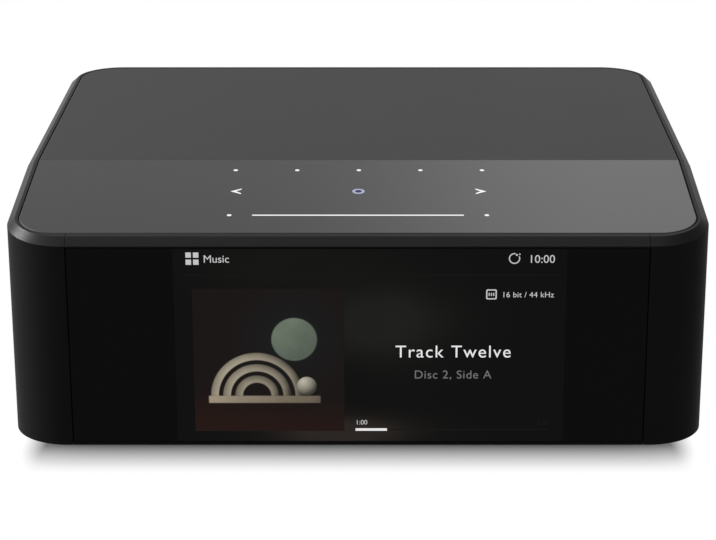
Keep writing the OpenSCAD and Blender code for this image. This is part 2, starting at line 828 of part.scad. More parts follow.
module processor_heatsink() {
    fins = 9;
    fin_t = 1.2;
    foot = 2;
    at = shield_at + [0, 0, shield[2]];
    pitch = (shield[0] - fin_t) / (fins - 1);
    color("#2e3033") {
        block(at, at + [shield[0], shield[1], foot]);
        for (i = [0:fins - 1]) block(at + [i * pitch, 0, foot], at + [i * pitch + fin_t, shield[1], 12]);
    }
}

module wireless_module() {
    color("#c3c6c9") {
        block(wireless_at, wireless_at + wireless);
        for (i = [0, 1]) translate(wireless_at + [5 + 10 * i, 3, wireless[2]]) cylinder(r = 1.2, h = 0.8);
    }
}

module antennas() {
    color("#1d5a36") for (s = [-1, 1]) layer(carrier_low, carrier_low + antenna_t) upright()
        translate([s * antenna_x, antenna_y]) square([28, 10], center = true);
}

// Tube swept along a path in a plane that leans little from x, as one closed skin
module lead(path, r, sides) {
    n = len(path);
    dirs = [for (i = [0:n - 1]) path[min(i + 1, n - 1)] - path[max(i - 1, 0)]];
    side = [for (d = dirs) let (c = cross(d, [0, 1, 0])) c / norm(c)];
    rise = [for (i = [0:n - 1]) let (c = cross(side[i], dirs[i])) c / norm(c)];
    rings = [for (i = [0:n - 1], k = [0:sides - 1])
             path[i] + r * (cos(360 * k / sides) * side[i] + sin(360 * k / sides) * rise[i])];
    walls = [for (i = [0:n - 2], k = [0:sides - 1], h = [0, 1])
             let (a = i * sides + k, b = i * sides + (k + 1) % sides)
             h == 0 ? [a, b, b + sides] : [a, b + sides, a + sides]];
    polyhedron(concat(rings, [path[0], path[n - 1]]),
               concat(walls, [for (k = [0:sides - 1]) [(k + 1) % sides, k, n * sides]],
                      [for (k = [0:sides - 1]) [(n - 1) * sides + k, (n - 1) * sides + (k + 1) % sides,
                                               n * sides + 1]]));
}

module antenna_leads() {
    steps = 14;
    r = 0.7;
    stub = 1.6;
    z0 = roof_z(antenna_y, carrier_low + antenna_t) - 1.3;
    color("#202020") for (i = [0, 1]) {
        a = [(2 * i - 1) * antenna_x, antenna_y, z0];
        b = wireless_at + [5 + 10 * i, 3, wireless[2] + stub];
        lead([for (k = [0:steps]) let (t = k / steps)
              [a[0] + (b[0] - a[0]) * t, a[1] + (b[1] - a[1]) * t, a[2] + (b[2] - a[2]) * ease(t)]], r, 8);
    }
}

module analog_board() {
    color("#17503a") {
        board([analog_x0, analog_y0], [analog_x1, board_y1], analog_z, analog_posts);
        for (i = [0:5]) block([analog_x0 + 20 + 12 * i, analog_y0 + 22, analog_top],
                              [analog_x0 + 24 + 12 * i, analog_y0 + 26, analog_top + 1.6]);
    }
}

module board_link() {
    size = [26, 5];
    at = [main_x0 + 50, analog_y0 + 3];
    color("#151515") block([at[0], at[1], main_top], [at[0] + size[0], at[1] + size[1], analog_z]);
}

module converter_chips() {
    color("#121214") for (x = [balanced_x[0] - 4, balanced_x[1] - 4])
        block([x, analog_y0 + 10, analog_top], [x + 9, analog_y0 + 19, analog_top + 1.4]);
}

module output_capacitors() {
    color("#20304a") for (i = [0:5]) translate([analog_x0 + 34 + 9 * i, analog_y0 + 33, analog_top])
        capacitor(3.5, 11);
}

// Electrolytic can with its crimp groove
module capacitor(r, h) {
    groove = 0.4;
    rotate_extrude() polygon([[0, 0], [r, 0], [r, 1], [r - groove, 1.5], [r, 2], [r, h - 0.6],
                              [r - 0.6, h], [0, h]]);
}

module power_board() {
    color("#6b4a1e") board([power_x0, board_y0], [power_x1, board_y1], main_z, power_posts);
}

module power_transformer() {
    at = [power_x0 + 8, power_y[1] - core[1] / 2, main_top];
    color("#d8b24a") {
        block(at, at + core);
        block(at + [5, -coil_over, 3], at + core + [-5, coil_over, -3]);
    }
}

module power_capacitors() {
    color("#1a1a1c") {
        for (i = [0, 1]) translate([power_x0 + 14 + 16 * i, power_y[0], main_top]) capacitor(can_r, can_h);
        for (i = [0:2]) translate([power_x0 + 12 + 11 * i, power_y[2], main_top])
            capacitor(small_can_r, small_can_h);
    }
}

module power_choke() {
    ring_r = 5.6;
    wire_r = 2.4;
    color("#7a3b1c") translate([power_x0 + 31, power_y[3], main_top + ring_r + wire_r]) rotate([90, 0, 0])
        rotate_extrude() translate([ring_r, 0]) circle(wire_r);
}

module power_heatsink() {
    plate = [2, 34, core[2]];
    fin = [3, 1.6];
    pitch = 7.6;
    at = [power_x0 + 2, power_y[1] - plate[1] / 2, main_top];
    color("#9a9da0") {
        block(at, at + plate);
        for (i = [0:4]) translate(at + [plate[0], 1 + pitch * i, 0]) cube([fin[0], fin[1], plate[2]]);
    }
}

module fuse() {
    tube_r = 2.6;
    tube_l = 14;
    clip_t = 2.4;
    axis_z = 3.6;
    at = [power_x0 + 15, power_y[3], main_top];
    color("#d9dde0") {
        translate(at + [0, 0, axis_z]) rotate([0, 90, 0]) cylinder(r = tube_r, h = tube_l, center = true);
        for (s = [-1, 1]) translate(at + [s * 5 - clip_t / 2, -fuse_d / 2, 0]) cube([clip_t, fuse_d, axis_z]);
    }
}

module power_harness() {
    wires = 4;
    wire_r = 0.9;
    reach = 7;
    plug = [6, 12, 7];
    at = [(power_x1 + main_x0) / 2, board_y0 + 10, main_top];
    color("#c8c8c0") {
        for (s = [-1, 1]) translate(at + [s * reach - plug[0] / 2, 0, 0]) cube(plug);
        for (i = [0:wires - 1]) translate(at + [0, 1.8 + 2.8 * i, plug[2] - 0.5]) rotate([90, 0, 0])
            rotate_extrude(angle = 180) translate([reach, 0]) circle(wire_r);
    }
}

module headphone_boards() {
    color("#17503a") for (s = [0, 1]) mirror([s, 0, 0])
        board([phones_pcb[0], phones_y - phones_span], [phones_pcb[1], phones_y + phones_span], main_z,
              [for (p = phones_posts) if (p[0] > 0) p]);
}

// Sockets

// Headphone socket, drawn on the right-hand side
module headphone_socket() {
    nose_x = body_w / 2 - 0.2;
    inner_x = body_w / 2 - side_wall - touch;
    bore_l = 29;
    difference() {
        union() {
            block([phones_x0, phones_y - 7, main_top], [inner_x, phones_y + 7, phones_z + 7]);
            translate([inner_x - 1, phones_y, phones_z]) rotate([0, 90, 0])
                cylinder(r = phones_nose, h = nose_x - inner_x + 1);
        }
        translate([nose_x - bore_l, phones_y, phones_z]) rotate([0, 90, 0])
            cylinder(r = phones_bore, h = bore_l + 1);
    }
}

module headphone_socket_left() color("#1a1a1a") mirror([1, 0, 0]) headphone_socket();

module headphone_socket_right() color("#1a1a1a") headphone_socket();

// Moves to a socket's middle on the tray's face, at a height
module at_tray(x, z) translate([x, tray_y, z]) children();

module mains_inlet() {
    hole = [15.4, 9.2];
    color("#141414") at_tray(inlet_x, inlet_z) difference() {
        union() {
            across(0, inlet_flange) rounded(27, 17, 3);
            across(-inlet_l, inlet_flange) rounded(inlet_body[0], inlet_body[1], 2);
            block([-9, -inlet_l, -inlet_axis], [9, -tray_t - touch, 0]);
        }
        across(inlet_flange - inlet_deep, inlet_flange + 1) slot(hole[0], hole[1]);
    }
}

module inlet_pins() {
    pin_r = 1.2;
    pin_l = 9.9;
    floor_y = inlet_flange - inlet_deep;
    color("#c9ccd0") at_tray(inlet_x, inlet_z) for (s = [-1, 1])
        rod(s * inlet_pitch / 2, 0, floor_y, floor_y + pin_l, pin_r);
}

module network_socket() {
    hole_w = 11.8;
    deep = 13;
    contacts = 8;
    color("#b4b8bc") at_tray(network_x, main_top) {
        difference() {
            block([-network_w / 2, -17, 0], [network_w / 2, 0.6, network_h]);
            block([-hole_w / 2, -deep, 2.6], [hole_w / 2, 1, 10.8]);
            block([-3, -deep, 1.2], [3, 1, 3]);
        }
        for (i = [0:contacts - 1]) translate([(i - (contacts - 1) / 2) * 1.02, 0, 0])
            block([-0.22, -deep, 9.8], [0.22, -3, 10.9]);
    }
}

module usb_socket() {
    wall = 0.5;
    lip = 0.5;
    color("#b4b8bc") at_tray(usb_x, main_top + usb_z) difference() {
        union() {
            block([-6.6, -14, 0], [6.6, 0.8, usb_h]);
            across(0.8 - lip, 0.8) translate([0, usb_h / 2]) square([usb_w, usb_h + 1.2], center = true);
            block([-6.6, -13, -usb_z], [6.6, -4, 0]);
        }
        block([-6.6 + wall, -13, wall], [6.6 - wall, 1, usb_h - wall]);
    }
}

module video_socket() {
    wall = 0.5;
    half = video_w / 2 - wall;
    color("#b4b8bc") at_tray(video_x, main_top) difference() {
        block([-video_w / 2, -11.5, 0], [video_w / 2, 0.8, video_h]);
        across(-10.5, 1) polygon([[-5, wall], [5, wall], [half, 2], [half, video_h - wall],
                                  [-half, video_h - wall], [-half, 2]]);
    }
}

module socket_tongues() {
    color("#1a1a1c") {
        at_tray(usb_x, main_top + usb_z) block([-5.6, -13, 3.2], [5.6, -0.6, 5]);
        at_tray(video_x, main_top) block([-5.4, -10.5, 2.5], [5.4, -1, 3.6]);
    }
}

module phono_barrels() {
    ring_r = 5.5;
    ring_t = 1.2;
    edge = 0.4;
    bore = phono_r - phono_wall;
    back = -tray_t - touch;
    color("#c7b06a") for (p = phonos) at_tray(p[0], p[1] + phono_axis) rotate([-90, 0, 0]) rotate_extrude()
        polygon([[bore, back], [phono_r, back], [phono_r, 0], [ring_r, 0], [ring_r, ring_t],
                 [phono_r, ring_t], [phono_r, phono_out - edge], [phono_r - edge, phono_out],
                 [bore, phono_out]]);
}

module phono_inserts() {
    core_r = phono_r - phono_wall - 0.05;
    half = phono_w / 2;
    deep = 12;
    set_in = 0.8;
    color("#202020") for (p = phonos) at_tray(p[0], p[1]) difference() {
        union() {
            block([-half, -14, 0], [half, -tray_t - touch, phono_axis + half]);
            rod(0, phono_axis, -tray_t - 1, phono_out - set_in, core_r);
        }
        rod(0, phono_axis, phono_out - deep, phono_out, phono_bore);
    }
}

module balanced_shells() {
    outer = cup_r + cup_wall;
    back = 3;
    color("#242426") for (x = balanced_x) at_tray(x, balanced_z) difference() {
        union() {
            across(0, balanced_flange) rounded(balanced_w, balanced_h, 3);
            across(balanced_flange - cup_deep - back, balanced_flange + 0.8) circle(outer);
            block([-8, balanced_flange - cup_deep - back, -balanced_axis], [8, -tray_t - touch, -4]);
        }
        across(balanced_flange - cup_deep, balanced_flange + 2) circle(cup_r);
        for (p = flange_spots) across(-1, balanced_flange + 1) translate(p) circle(m2_core);
    }
}

module balanced_pins() {
    circle_r = 3.9;
    pin_l = 12;
    pin_r = 1.2;
    floor_y = balanced_flange - cup_deep;
    color("#d2c07a") for (x = balanced_x, a = [30, 150, 270]) at_tray(x, balanced_z)
        rod(circle_r * cos(a), circle_r * sin(a), floor_y, floor_y + pin_l, pin_r);
}

module optical_housings() {
    half = optical_hole[0] / 2;
    color("#161616") for (x = optical_x) at_tray(x, main_top) {
        difference() {
            block([-optical_w / 2, -optical_deep, 0], [optical_w / 2, optical_lip, optical_h]);
            across(-optical_back, 1) polygon([[-half, optical_floor], [half, optical_floor],
                [half, optical_floor + optical_hole[1]], [-half, optical_floor + optical_hole[1]]]);
            translate([0, -hinge_in, hinge_z]) rotate([0, 90, 0])
                cylinder(r = hinge_hole, h = 2 * (half + hinge_stub + touch), center = true);
        }
        rod(0, optical_floor + 3.6, -optical_back - touch, -optical_back + 1.4, 1.5);
    }
}

// Sprung flap that hangs in an optical socket's mouth and swings inwards
module optical_shutter(x) {
    half = optical_hole[0] / 2;
    at_tray(x, main_top) translate([0, -hinge_in, hinge_z]) rotate([-shutter_open, 0, 0]) {
        block([-half + flap_side, -flap_t / 2, flap_low - hinge_z], [half - flap_side, flap_t / 2, 0]);
        rotate([0, 90, 0]) cylinder(r = hinge_r, h = 2 * (half + hinge_stub), center = true);
    }
}

module optical_shutter_in() color("#2c2c2e") optical_shutter(optical_x[0]);

module optical_shutter_out() color("#2c2c2e") optical_shutter(optical_x[1]);

module minijack_sockets() {
    half = minijack_w / 2;
    nose_y = 0.4;
    bore_l = 11.5;
    color("#161616") for (x = minijack_x) at_tray(x, main_top) difference() {
        union() {
            block([-half, -13.5, 0], [half, -tray_t - touch, 2 * minijack_axis]);
            rod(0, minijack_axis, -tray_t - 0.5, nose_y, minijack_nose);
        }
        rod(0, minijack_axis, nose_y - bore_l, nose_y + 1, minijack_bore);
    }
}

wrap_shell();
front_bezel();
display_window();
touch_glass();
top_cover();
top_carrier();
base_pan();
rubber_feet();
foot_screws();
base_screws();
carrier_screws();
rear_tray();
rear_screws();
display_gasket();
lcd_module();
display_bracket();
bracket_screws();
display_board();
display_flex();
ir_receiver();
light_guide();
touch_board();
touch_flex();
main_board();
board_standoffs();
processor_shield();
processor_heatsink();
wireless_module();
antennas();
antenna_leads();
analog_board();
analog_standoffs();
board_link();
converter_chips();
output_capacitors();
board_screws();
power_board();
power_transformer();
power_capacitors();
power_choke();
power_heatsink();
fuse();
power_harness();
headphone_boards();
headphone_socket_left();
headphone_socket_right();
mains_inlet();
inlet_pins();
network_socket();
usb_socket();
video_socket();
socket_tongues();
phono_barrels();
phono_inserts();
balanced_shells();
balanced_pins();
optical_housings();
optical_shutter_in();
optical_shutter_out();
minijack_sockets();
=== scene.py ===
"""Looks of a network music streamer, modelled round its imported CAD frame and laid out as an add-on."""

import json
import math
from contextlib import contextmanager

import bmesh
import bpy
from mathutils import Euler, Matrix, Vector

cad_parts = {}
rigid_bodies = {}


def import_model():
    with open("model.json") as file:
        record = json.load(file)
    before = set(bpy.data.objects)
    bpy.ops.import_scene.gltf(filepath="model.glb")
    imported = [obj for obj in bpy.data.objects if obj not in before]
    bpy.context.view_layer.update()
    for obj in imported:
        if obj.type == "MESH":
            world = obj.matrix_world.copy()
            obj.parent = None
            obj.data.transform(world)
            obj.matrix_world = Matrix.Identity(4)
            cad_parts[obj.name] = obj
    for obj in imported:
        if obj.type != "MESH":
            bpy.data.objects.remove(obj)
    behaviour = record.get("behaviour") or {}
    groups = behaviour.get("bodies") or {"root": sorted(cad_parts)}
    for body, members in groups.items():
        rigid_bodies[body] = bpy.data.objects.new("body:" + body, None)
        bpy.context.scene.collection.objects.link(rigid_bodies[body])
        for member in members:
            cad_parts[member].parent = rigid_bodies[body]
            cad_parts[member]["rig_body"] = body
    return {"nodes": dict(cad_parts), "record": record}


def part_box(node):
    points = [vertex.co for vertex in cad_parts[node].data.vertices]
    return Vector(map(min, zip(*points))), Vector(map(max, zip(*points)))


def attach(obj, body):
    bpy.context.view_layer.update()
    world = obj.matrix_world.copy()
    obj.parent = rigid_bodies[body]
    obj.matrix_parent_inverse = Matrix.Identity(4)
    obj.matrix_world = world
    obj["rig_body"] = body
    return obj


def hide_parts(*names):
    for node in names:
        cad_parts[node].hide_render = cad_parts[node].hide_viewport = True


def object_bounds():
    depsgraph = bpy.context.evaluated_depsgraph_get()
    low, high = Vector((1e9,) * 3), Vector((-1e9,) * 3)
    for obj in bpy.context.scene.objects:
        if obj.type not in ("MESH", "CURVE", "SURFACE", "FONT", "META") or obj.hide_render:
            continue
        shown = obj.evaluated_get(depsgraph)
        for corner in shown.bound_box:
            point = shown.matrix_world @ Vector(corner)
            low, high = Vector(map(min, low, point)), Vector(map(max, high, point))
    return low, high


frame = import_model()

bl_info = {
    "name": "Network music streamer",
    "version": (1, 0, 0),
    "blender": (4, 5, 0),
    "location": "View3D > Sidebar > Streamer",
    "description": "Models and finishes the visible pieces of a network music streamer round its CAD frame",
    "category": "Object",
}

# The frame's nodes, slots and places, in metres

MM = 0.001
NODES = frame["nodes"]
SLOTS = {part["node"]: part["material_slot"] for part in frame["record"]["subparts"]}
CAD_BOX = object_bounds()
BODY_LO, BODY_HI = CAD_BOX
WALL_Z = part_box("wrap_shell")[0].z
BEZEL_LO, BEZEL_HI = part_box("front_bezel")
WINDOW_LO, WINDOW_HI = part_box("display_window")
WINDOW_FACE = WINDOW_LO.y + 0.05 * MM
LCD_LO, LCD_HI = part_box("lcd_module")
GLASS_LO, GLASS_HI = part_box("touch_glass")
COVER_LO, COVER_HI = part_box("top_cover")
RIM_FOOT = BODY_HI.z - 14 * MM

# Openings in the wrap, in millimetres

REAR_HALF, REAR_FOOT, REAR_HEAD, REAR_CORNER = 84, 13.6, 74.6, 4
PHONES_Y, PHONES_Z, PHONES_RADIUS, PHONES_REACH = -55, 28, 5.3, 240
TRAY_SCREWS = [(x, z) for x in (-87, 87) for z in (23.6, 64.6)]
SCREW_HOLE_RADIUS, SCREW_HOLE_DEPTH = 2.85, 4

# Small allowances, in metres

CLEAR = MM
SAME = 0.001 * MM
CREASE_HALF = 0.05 * MM
PANEL_ARRIS = 0.3 * MM

# The photo's camera: its place in metres, and its lens shift beside the photo's width, in pixels

CAMERA_AT = (6.071 * MM, -749.23 * MM, 291.286 * MM)
PHOTO_WIDTH = 716
SHIFT_RIGHT, SHIFT_UP = -19.356, -20

# Lamps of the studio, in metres: name, place, width and height, and whether its light falls on the floor

LAMPS = (
    ("key", (0.1, -0.25, 1.25), (1.1, 1.1), True),
    ("back", (0.44, 1.15, 1.02), (0.85, 0.55), True),
    ("left", (-1.15, 0.05, 0.25), (0.9, 0.5), False),
    ("glint", (-1.09, 0.217, 0.86), (0.8, 0.25), False),
)
LAMP_AIM = Vector((0, 0, 0.05))


# Sizes and colours that a user would change

def number(name, description, value, **limits):
    return bpy.props.FloatProperty(name=name, description=description, default=value, **limits)


def length(name, description, millimetres):
    return number(name, description, millimetres * MM, unit="LENGTH")


def power(name, description, watts):
    return number(name, description, watts, min=0, unit="POWER")


def swatch(name, description, colour):
    return bpy.props.FloatVectorProperty(
        name=name, description=description, default=colour, subtype="COLOR", min=0, max=1)


def words(name, description, text):
    return bpy.props.StringProperty(name=name, description=description, default=text)


class StreamerCasing(bpy.types.PropertyGroup):
    """Sizes of the casing's visible forms."""

    corner: length("Corner radius", "Plan radius of the upright corners", 18.5)
    wall: length("Wall", "Thickness of the side and rear walls", 3.4)
    seam_in: length("Seam distance", "Distance of the two front seams from the sides", 20)
    seam_gap: length("Seam gap", "Width of the two front seams", 0.12)
    bevel_in: length("Bevel width", "Width of the bevel round the top edge, seen from above", 2.5)
    bevel_drop: length("Bevel height", "Height of the bevel round the top edge", 2.2)
    side_land: length("Side land", "Flat land inside the bevel along the sides and the back", 1.1)
    front_land: length("Front land", "Flat land inside the bevel along the front", 2.1)
    front_drop: length("Front drop", "How much lower the front rim lies than the rear rim", 7.2)
    slope_run: length("Slope run", "Depth of the sloped touch surface", 62.9)
    glass_corner: length("Glass corner", "Plan radius of the touch glass at its front corners", 13)
    gap: length("Panel gap", "Gap between the rim and the glass or the cover", 0.3)
    panel: length("Panel", "Thickness of the touch glass and of the rim above the inside", 2)
    arris: length("Arris", "Rounding of the wrap's sharp edges", 0.2)


class StreamerFinish(bpy.types.PropertyGroup):
    """Colours of the visible finishes."""

    metal: swatch("Metal", "Colour of the anodised wrap and bezel", (0.0055, 0.0055, 0.0057))
    bevel: swatch("Bevel", "Colour of the machined bevel and land", (0.0087, 0.0087, 0.009))
    cover: swatch("Cover", "Colour of the matte top cover", (0.0035, 0.0035, 0.0036))
    glass: swatch("Glass", "Colour under the black glass", (0.0006, 0.0006, 0.0007))
    mark: swatch("Marks", "Colour of the printed touch marks", (0.86, 0.86, 0.86))
    ring: swatch("Ring", "Colour of the lit ring", (0.41, 0.435, 0.61))
    ring_middle: swatch("Ring middle", "Colour inside the lit ring", (0.012, 0.017, 0.08))


class StreamerScreen(bpy.types.PropertyGroup):
    """Readouts of the lit screen."""

    title: words("Title", "First line of the readout", "Track Twelve")
    line: words("Second line", "Second line of the readout", "Disc 2, Side A")
    menu: words("Menu", "Word at the top left of the screen", "Music")
    clock: words("Clock", "Time at the top right of the screen", "10:00")
    rate: words("Rate", "Sample size and rate of the signal", "16 bit / 44 kHz")
    elapsed: words("Elapsed", "Time played", "1:00")
    total: words("Total", "Playing time", "5:20")


class StreamerStage(bpy.types.PropertyGroup):
    """Light and camera of the studio."""

    ambient: number("Ambient", "Strength of the even studio light", 0.55, min=0)
    key: power("Key", "Power of the soft light overhead", 5.0)
    back: power("Back", "Power of the soft light at the back right", 2.9)
    left: power("Left", "Power of the low light at the left", 7.0)
    glint: power("Glint", "Power of the light that picks out the front left corner", 88.0)
    lens: number("Lens", "Focal length of the camera", 112.759, min=1, unit="CAMERA")
    pitch: number("Pitch", "How far the camera looks down", math.radians(18.464), subtype="ANGLE")


# Shader maths

class Wire:
    """A socket that takes part in Python expressions."""

    def __init__(self, finish, made, out=0):
        self.finish, self.made = finish, made
        self.socket = made.outputs[out] if made.outputs else None

    def out(self, name):
        return Wire(self.finish, self.made, name)

    def math(self, operation, *others):
        return self.finish.math(operation, self, *others)

    def __add__(self, other):
        return self.math("ADD", other)

    __radd__ = __add__

    def __sub__(self, other):
        return self.math("SUBTRACT", other)

    def __rsub__(self, other):
        return self.finish.math("SUBTRACT", other, self)

    def __mul__(self, other):
        return self.math("MULTIPLY", other)

    __rmul__ = __mul__

    def __truediv__(self, other):
        return self.math("DIVIDE", other)

    def __rtruediv__(self, other):
        return self.finish.math("DIVIDE", other, self)

    def __pow__(self, other):
        return self.math("POWER", other)

    def below(self, edge, soft):
        """1 where this value is under edge and 0 above it, over a soft step."""
        return self.finish.node(
            "MapRange",
            {"Value": self, "From Min": edge - soft, "From Max": edge + soft, "To Min": 1.0, "To Max": 0.0},
            interpolation_type="SMOOTHSTEP")

    def swing(self, width):
        """A value between 0 and 1 as a swing of this width about 0."""
        return (self - 0.5) * width


class Finish:
    """The node tree of one finish."""

    def __init__(self, owner):
        owner.use_nodes = True
        self.owner = owner
        self.tree = owner.node_tree
        self.tree.nodes.clear()

    def node(self, kind, inputs=None, out=0, **settings):
        """Adds a node: its settings first, then the values or links of its sockets."""
        made = self.tree.nodes.new("ShaderNode" + kind)
        for key, value in settings.items():
            setattr(made, key, value)
        for key, value in (inputs or {}).items():
            if isinstance(value, Wire):
                self.tree.links.new(value.socket, made.inputs[key])
            else:
                made.inputs[key].default_value = value
        return Wire(self, made, out)

    def math(self, operation, *values):
        return self.node("Math", dict(enumerate(values)), operation=operation)

    def place(self):
        """Object coordinates."""
        return self.node("TexCoord", out="Object")

    def axes(self):
        """Object coordinates as three values in millimetres."""
        scaled = self.node("VectorMath", {0: self.place(), "Scale": 1 / MM}, operation="SCALE")
        split = self.node("SeparateXYZ", {0: scaled})
        return split.out("X"), split.out("Y"), split.out("Z")

    def noise(self, per_metre, detail=2.0, at=None):
        return self.node("TexNoise", {"Vector": at or self.place(), "Scale": per_metre, "Detail": detail})

    def blend(self, share, a, b):
        """Colour a where share is 0 and colour b where it is 1."""
        a, b = [c if isinstance(c, Wire) else (*c, 1) for c in (a, b)]
        return self.node("Mix", {0: share, 6: a, 7: b}, out=2, data_type="RGBA")

    def bump(self, height, strength, millimetres):
        return self.node("Bump", {"Height": height, "Strength": strength, "Distance": millimetres * MM})

    def surface(self, inputs):
        self.node("OutputMaterial", {"Surface": self.node("BsdfPrincipled", inputs)})
        return self.owner

    def lit(self, colour, rough, level):
        """Surface of something black that shines by itself."""
        return self.surface({
            "Base Color": (0.001, 0.001, 0.001, 1),
            "Roughness": rough,
            "Specular IOR Level": level,
            "Emission Color": colour,
            "Emission Strength": 1.0,
        })

    def seen(self):
        """1 for the rays that see a backdrop: from the camera, by a reflection or through glass."""
        path = self.node("LightPath")
        direct = path.out("Is Camera Ray").math("MAXIMUM", path.out("Is Glossy Ray"))
        return direct.math("MAXIMUM", path.out("Is Transmission Ray"))


def new_finish(name):
    return Finish(bpy.data.materials.new(name))


def shades(colour, spread):
    """A colour a little darker and a little lighter."""
    return [tuple(c * k for c in colour) for k in (1 - spread, 1 + spread)]


# Finishes that several pieces share

def satin(name, colour, rough, level, grain=5200.0, bump=0.06):
    """Fine even grain with a slow drift of tone: anodised or blasted metal, paint and moulded plastic."""
    f = new_finish(name)
    fine = f.noise(grain)
    slow = f.noise(22.0)
    return f.surface({
        "Base Color": f.blend(slow * 0.6 + fine * 0.4, *shades(colour, 0.15)),
        "Roughness": rough + fine.swing(0.14) + slow.swing(0.05),
        "Specular IOR Level": level,
        "Normal": f.bump(fine, bump, 0.02),
    })


def brushed(name, colour, rough, level):
    """Machined rim with fine lines along it, which follow the slope of the top."""
    f = new_finish(name)
    x, y, z = f.axes()
    fall = (crease_point().y / MM - y).math("MAXIMUM", 0.0) * math.tan(roof_tilt())
    along_rim = f.node("CombineXYZ", {0: x * 0.05, 1: y * 0.05, 2: (z + fall) * 4.0})
    lines = f.noise(1.0, 3.0, along_rim)
    fine = f.noise(2600.0)
    return f.surface({
        "Base Color": f.blend(lines * 0.7 + fine * 0.3, *shades(colour, 0.2)),
        "Roughness": rough + lines.swing(0.2) + fine.swing(0.08),
        "Specular IOR Level": level,
        "Normal": f.bump(lines, 0.8, 0.03),
    })


def rim_finishes(name):
    """Finishes of a piece of the casing: its walls, its bevel and its land."""
    look = bpy.context.scene.streamer_finish
    return [satin(name + "_anodised", look.metal, rough=0.5, level=0.011),
            brushed(name + "_bevel", look.bevel, rough=0.35, level=0.018),
            brushed(name + "_land", look.bevel, rough=0.4, level=0.011)]


def bare_metal(name, colour, rough):
    """Plated or machined metal with fine lines along it."""
    f = new_finish(name)
    stretched = f.node("Mapping", {"Vector": f.place(), "Scale": (1.0, 0.06, 1.0)})
    scratch = f.noise(2400.0, 3.0, stretched)
    slow = f.noise(60.0)
    return f.surface({
        "Base Color": f.blend(slow, *shades(colour, 0.12)),
        "Roughness": rough + scratch.swing(0.2),
        "Metallic": 1.0,
        "Normal": f.bump(scratch, 0.05, 0.01),
    })


def black_glass(name, colour, rough, level):
    """Black glass with a barely uneven polish."""
    f = new_finish(name)
    slow = f.noise(14.0, 3.0)
    fine = f.noise(900.0)
    return f.surface({
        "Base Color": f.blend(slow, *shades(colour, 0.2)),
        "Roughness": rough + slow.swing(0.04) + fine.swing(0.02),
        "Specular IOR Level": level,
    })


def rubber(name, colour):
    """Matte rubber or foam."""
    f = new_finish(name)
    fine = f.noise(3200.0, 4.0)
    slow = f.noise(120.0)
    return f.surface({
        "Base Color": f.blend(slow, *shades(colour, 0.3)),
        "Roughness": 0.78 + fine.swing(0.2),
        "Specular IOR Level": 0.3,
        "Normal": f.bump(fine, 0.25, 0.05),
    })


def laminate(name, resist, track):
    """Circuit board: solder resist over a net of tracks."""
    f = new_finish(name)
    cells = f.node("TexVoronoi", {"Vector": f.place(), "Scale": 320.0},
                   feature="DISTANCE_TO_EDGE", distance="MANHATTAN")
    tracks = cells.below(0.06, 0.03)
    slow = f.noise(80.0)
    return f.surface({
        "Base Color": f.blend(tracks, f.blend(slow, *shades(resist, 0.15)), track),
        "Roughness": 0.38 + slow * 0.1,
        "Normal": f.bump(tracks, 0.2, 0.03),
    })


def winding(name, colour):
    """Enamelled wire or wrapped tape, in close turns."""
    f = new_finish(name)
    turns = f.node("TexWave", {"Vector": f.place(), "Scale": 420.0, "Distortion": 0.6},
                   wave_type="BANDS", bands_direction="Z")
    return f.surface({
        "Base Color": f.blend(turns, *shades(colour, 0.35)),
        "Roughness": 0.32 + turns * 0.2,
        "Normal": f.bump(turns, 0.5, 0.1),
    })


def ribbon(name, film, lead):
    """Flat flexible cable with its parallel leads."""
    f = new_finish(name)
    x, _, _ = f.axes()
    lane = (x * 2.0).math("FRACT").below(0.55, 0.08)
    return f.surface({
        "Base Color": f.blend(lane, film, lead),
        "Roughness": 0.4 + lane * 0.15,
    })


def glow(name, colour, rough=0.3, level=0.05):
    """A lit or printed sign: its own light, with a barely uneven tone."""
    f = new_finish(name)
    return f.lit(f.blend(f.noise(260.0), *shades(colour, 0.06)), rough, level)


# Modelling

def focus(*objs):
    """Selects these objects alone, the last one active."""
    if bpy.context.mode != "OBJECT":
        bpy.ops.object.mode_set(mode="OBJECT")
    bpy.ops.object.select_all(action="DESELECT")
    for obj in objs:
        obj.select_set(True)
    if objs:
        bpy.context.view_layer.objects.active = objs[-1]


@contextmanager
def editing(obj, mode, action="DESELECT"):
    """Edit mode on one object, with nothing or all of it selected."""
    focus(obj)
    bpy.ops.object.mode_set(mode="EDIT")
    bpy.ops.mesh.select_mode(type=mode)
    bpy.ops.mesh.select_all(action=action)
    yield
    bpy.ops.object.mode_set(mode="OBJECT")


def pick(obj, kind, test):
    """Selects the verts, edges or faces that pass a test of their place or normal."""
    bpy.ops.mesh.select_all(action="DESELECT")
    mesh = bmesh.from_edit_mesh(obj.data)
    found = [item for item in getattr(mesh, kind) if test(item)]
    if not found:
        raise RuntimeError(f"{obj.name}: no {kind} to select")
    for item in found:
        item.select_set(True)
    mesh.select_flush_mode()
    bmesh.update_edit_mesh(obj.data)


def along(axis):
    """Test for edges that run along one axis."""
    def test(edge):
        run = edge.verts[1].co - edge.verts[0].co
        return abs(run[axis]) > 0.999 * run.length
    return test


def upright_at(depth, half):
    """Test for the upright edges at one depth and at this distance to both sides of the middle."""
    upright = along(2)

    def test(edge):
        at = edge.verts[0].co
        return upright(edge) and abs(at.y - depth) < SAME and abs(abs(at.x) - half) < SAME
    return test


def new_object(name):
    """The object that the last operator made, under its name."""
    obj = bpy.context.object
    obj.name = name
    return obj


def apply_place(obj):
    focus(obj)
    bpy.ops.object.transform_apply(location=True, rotation=True, scale=True)
    return obj


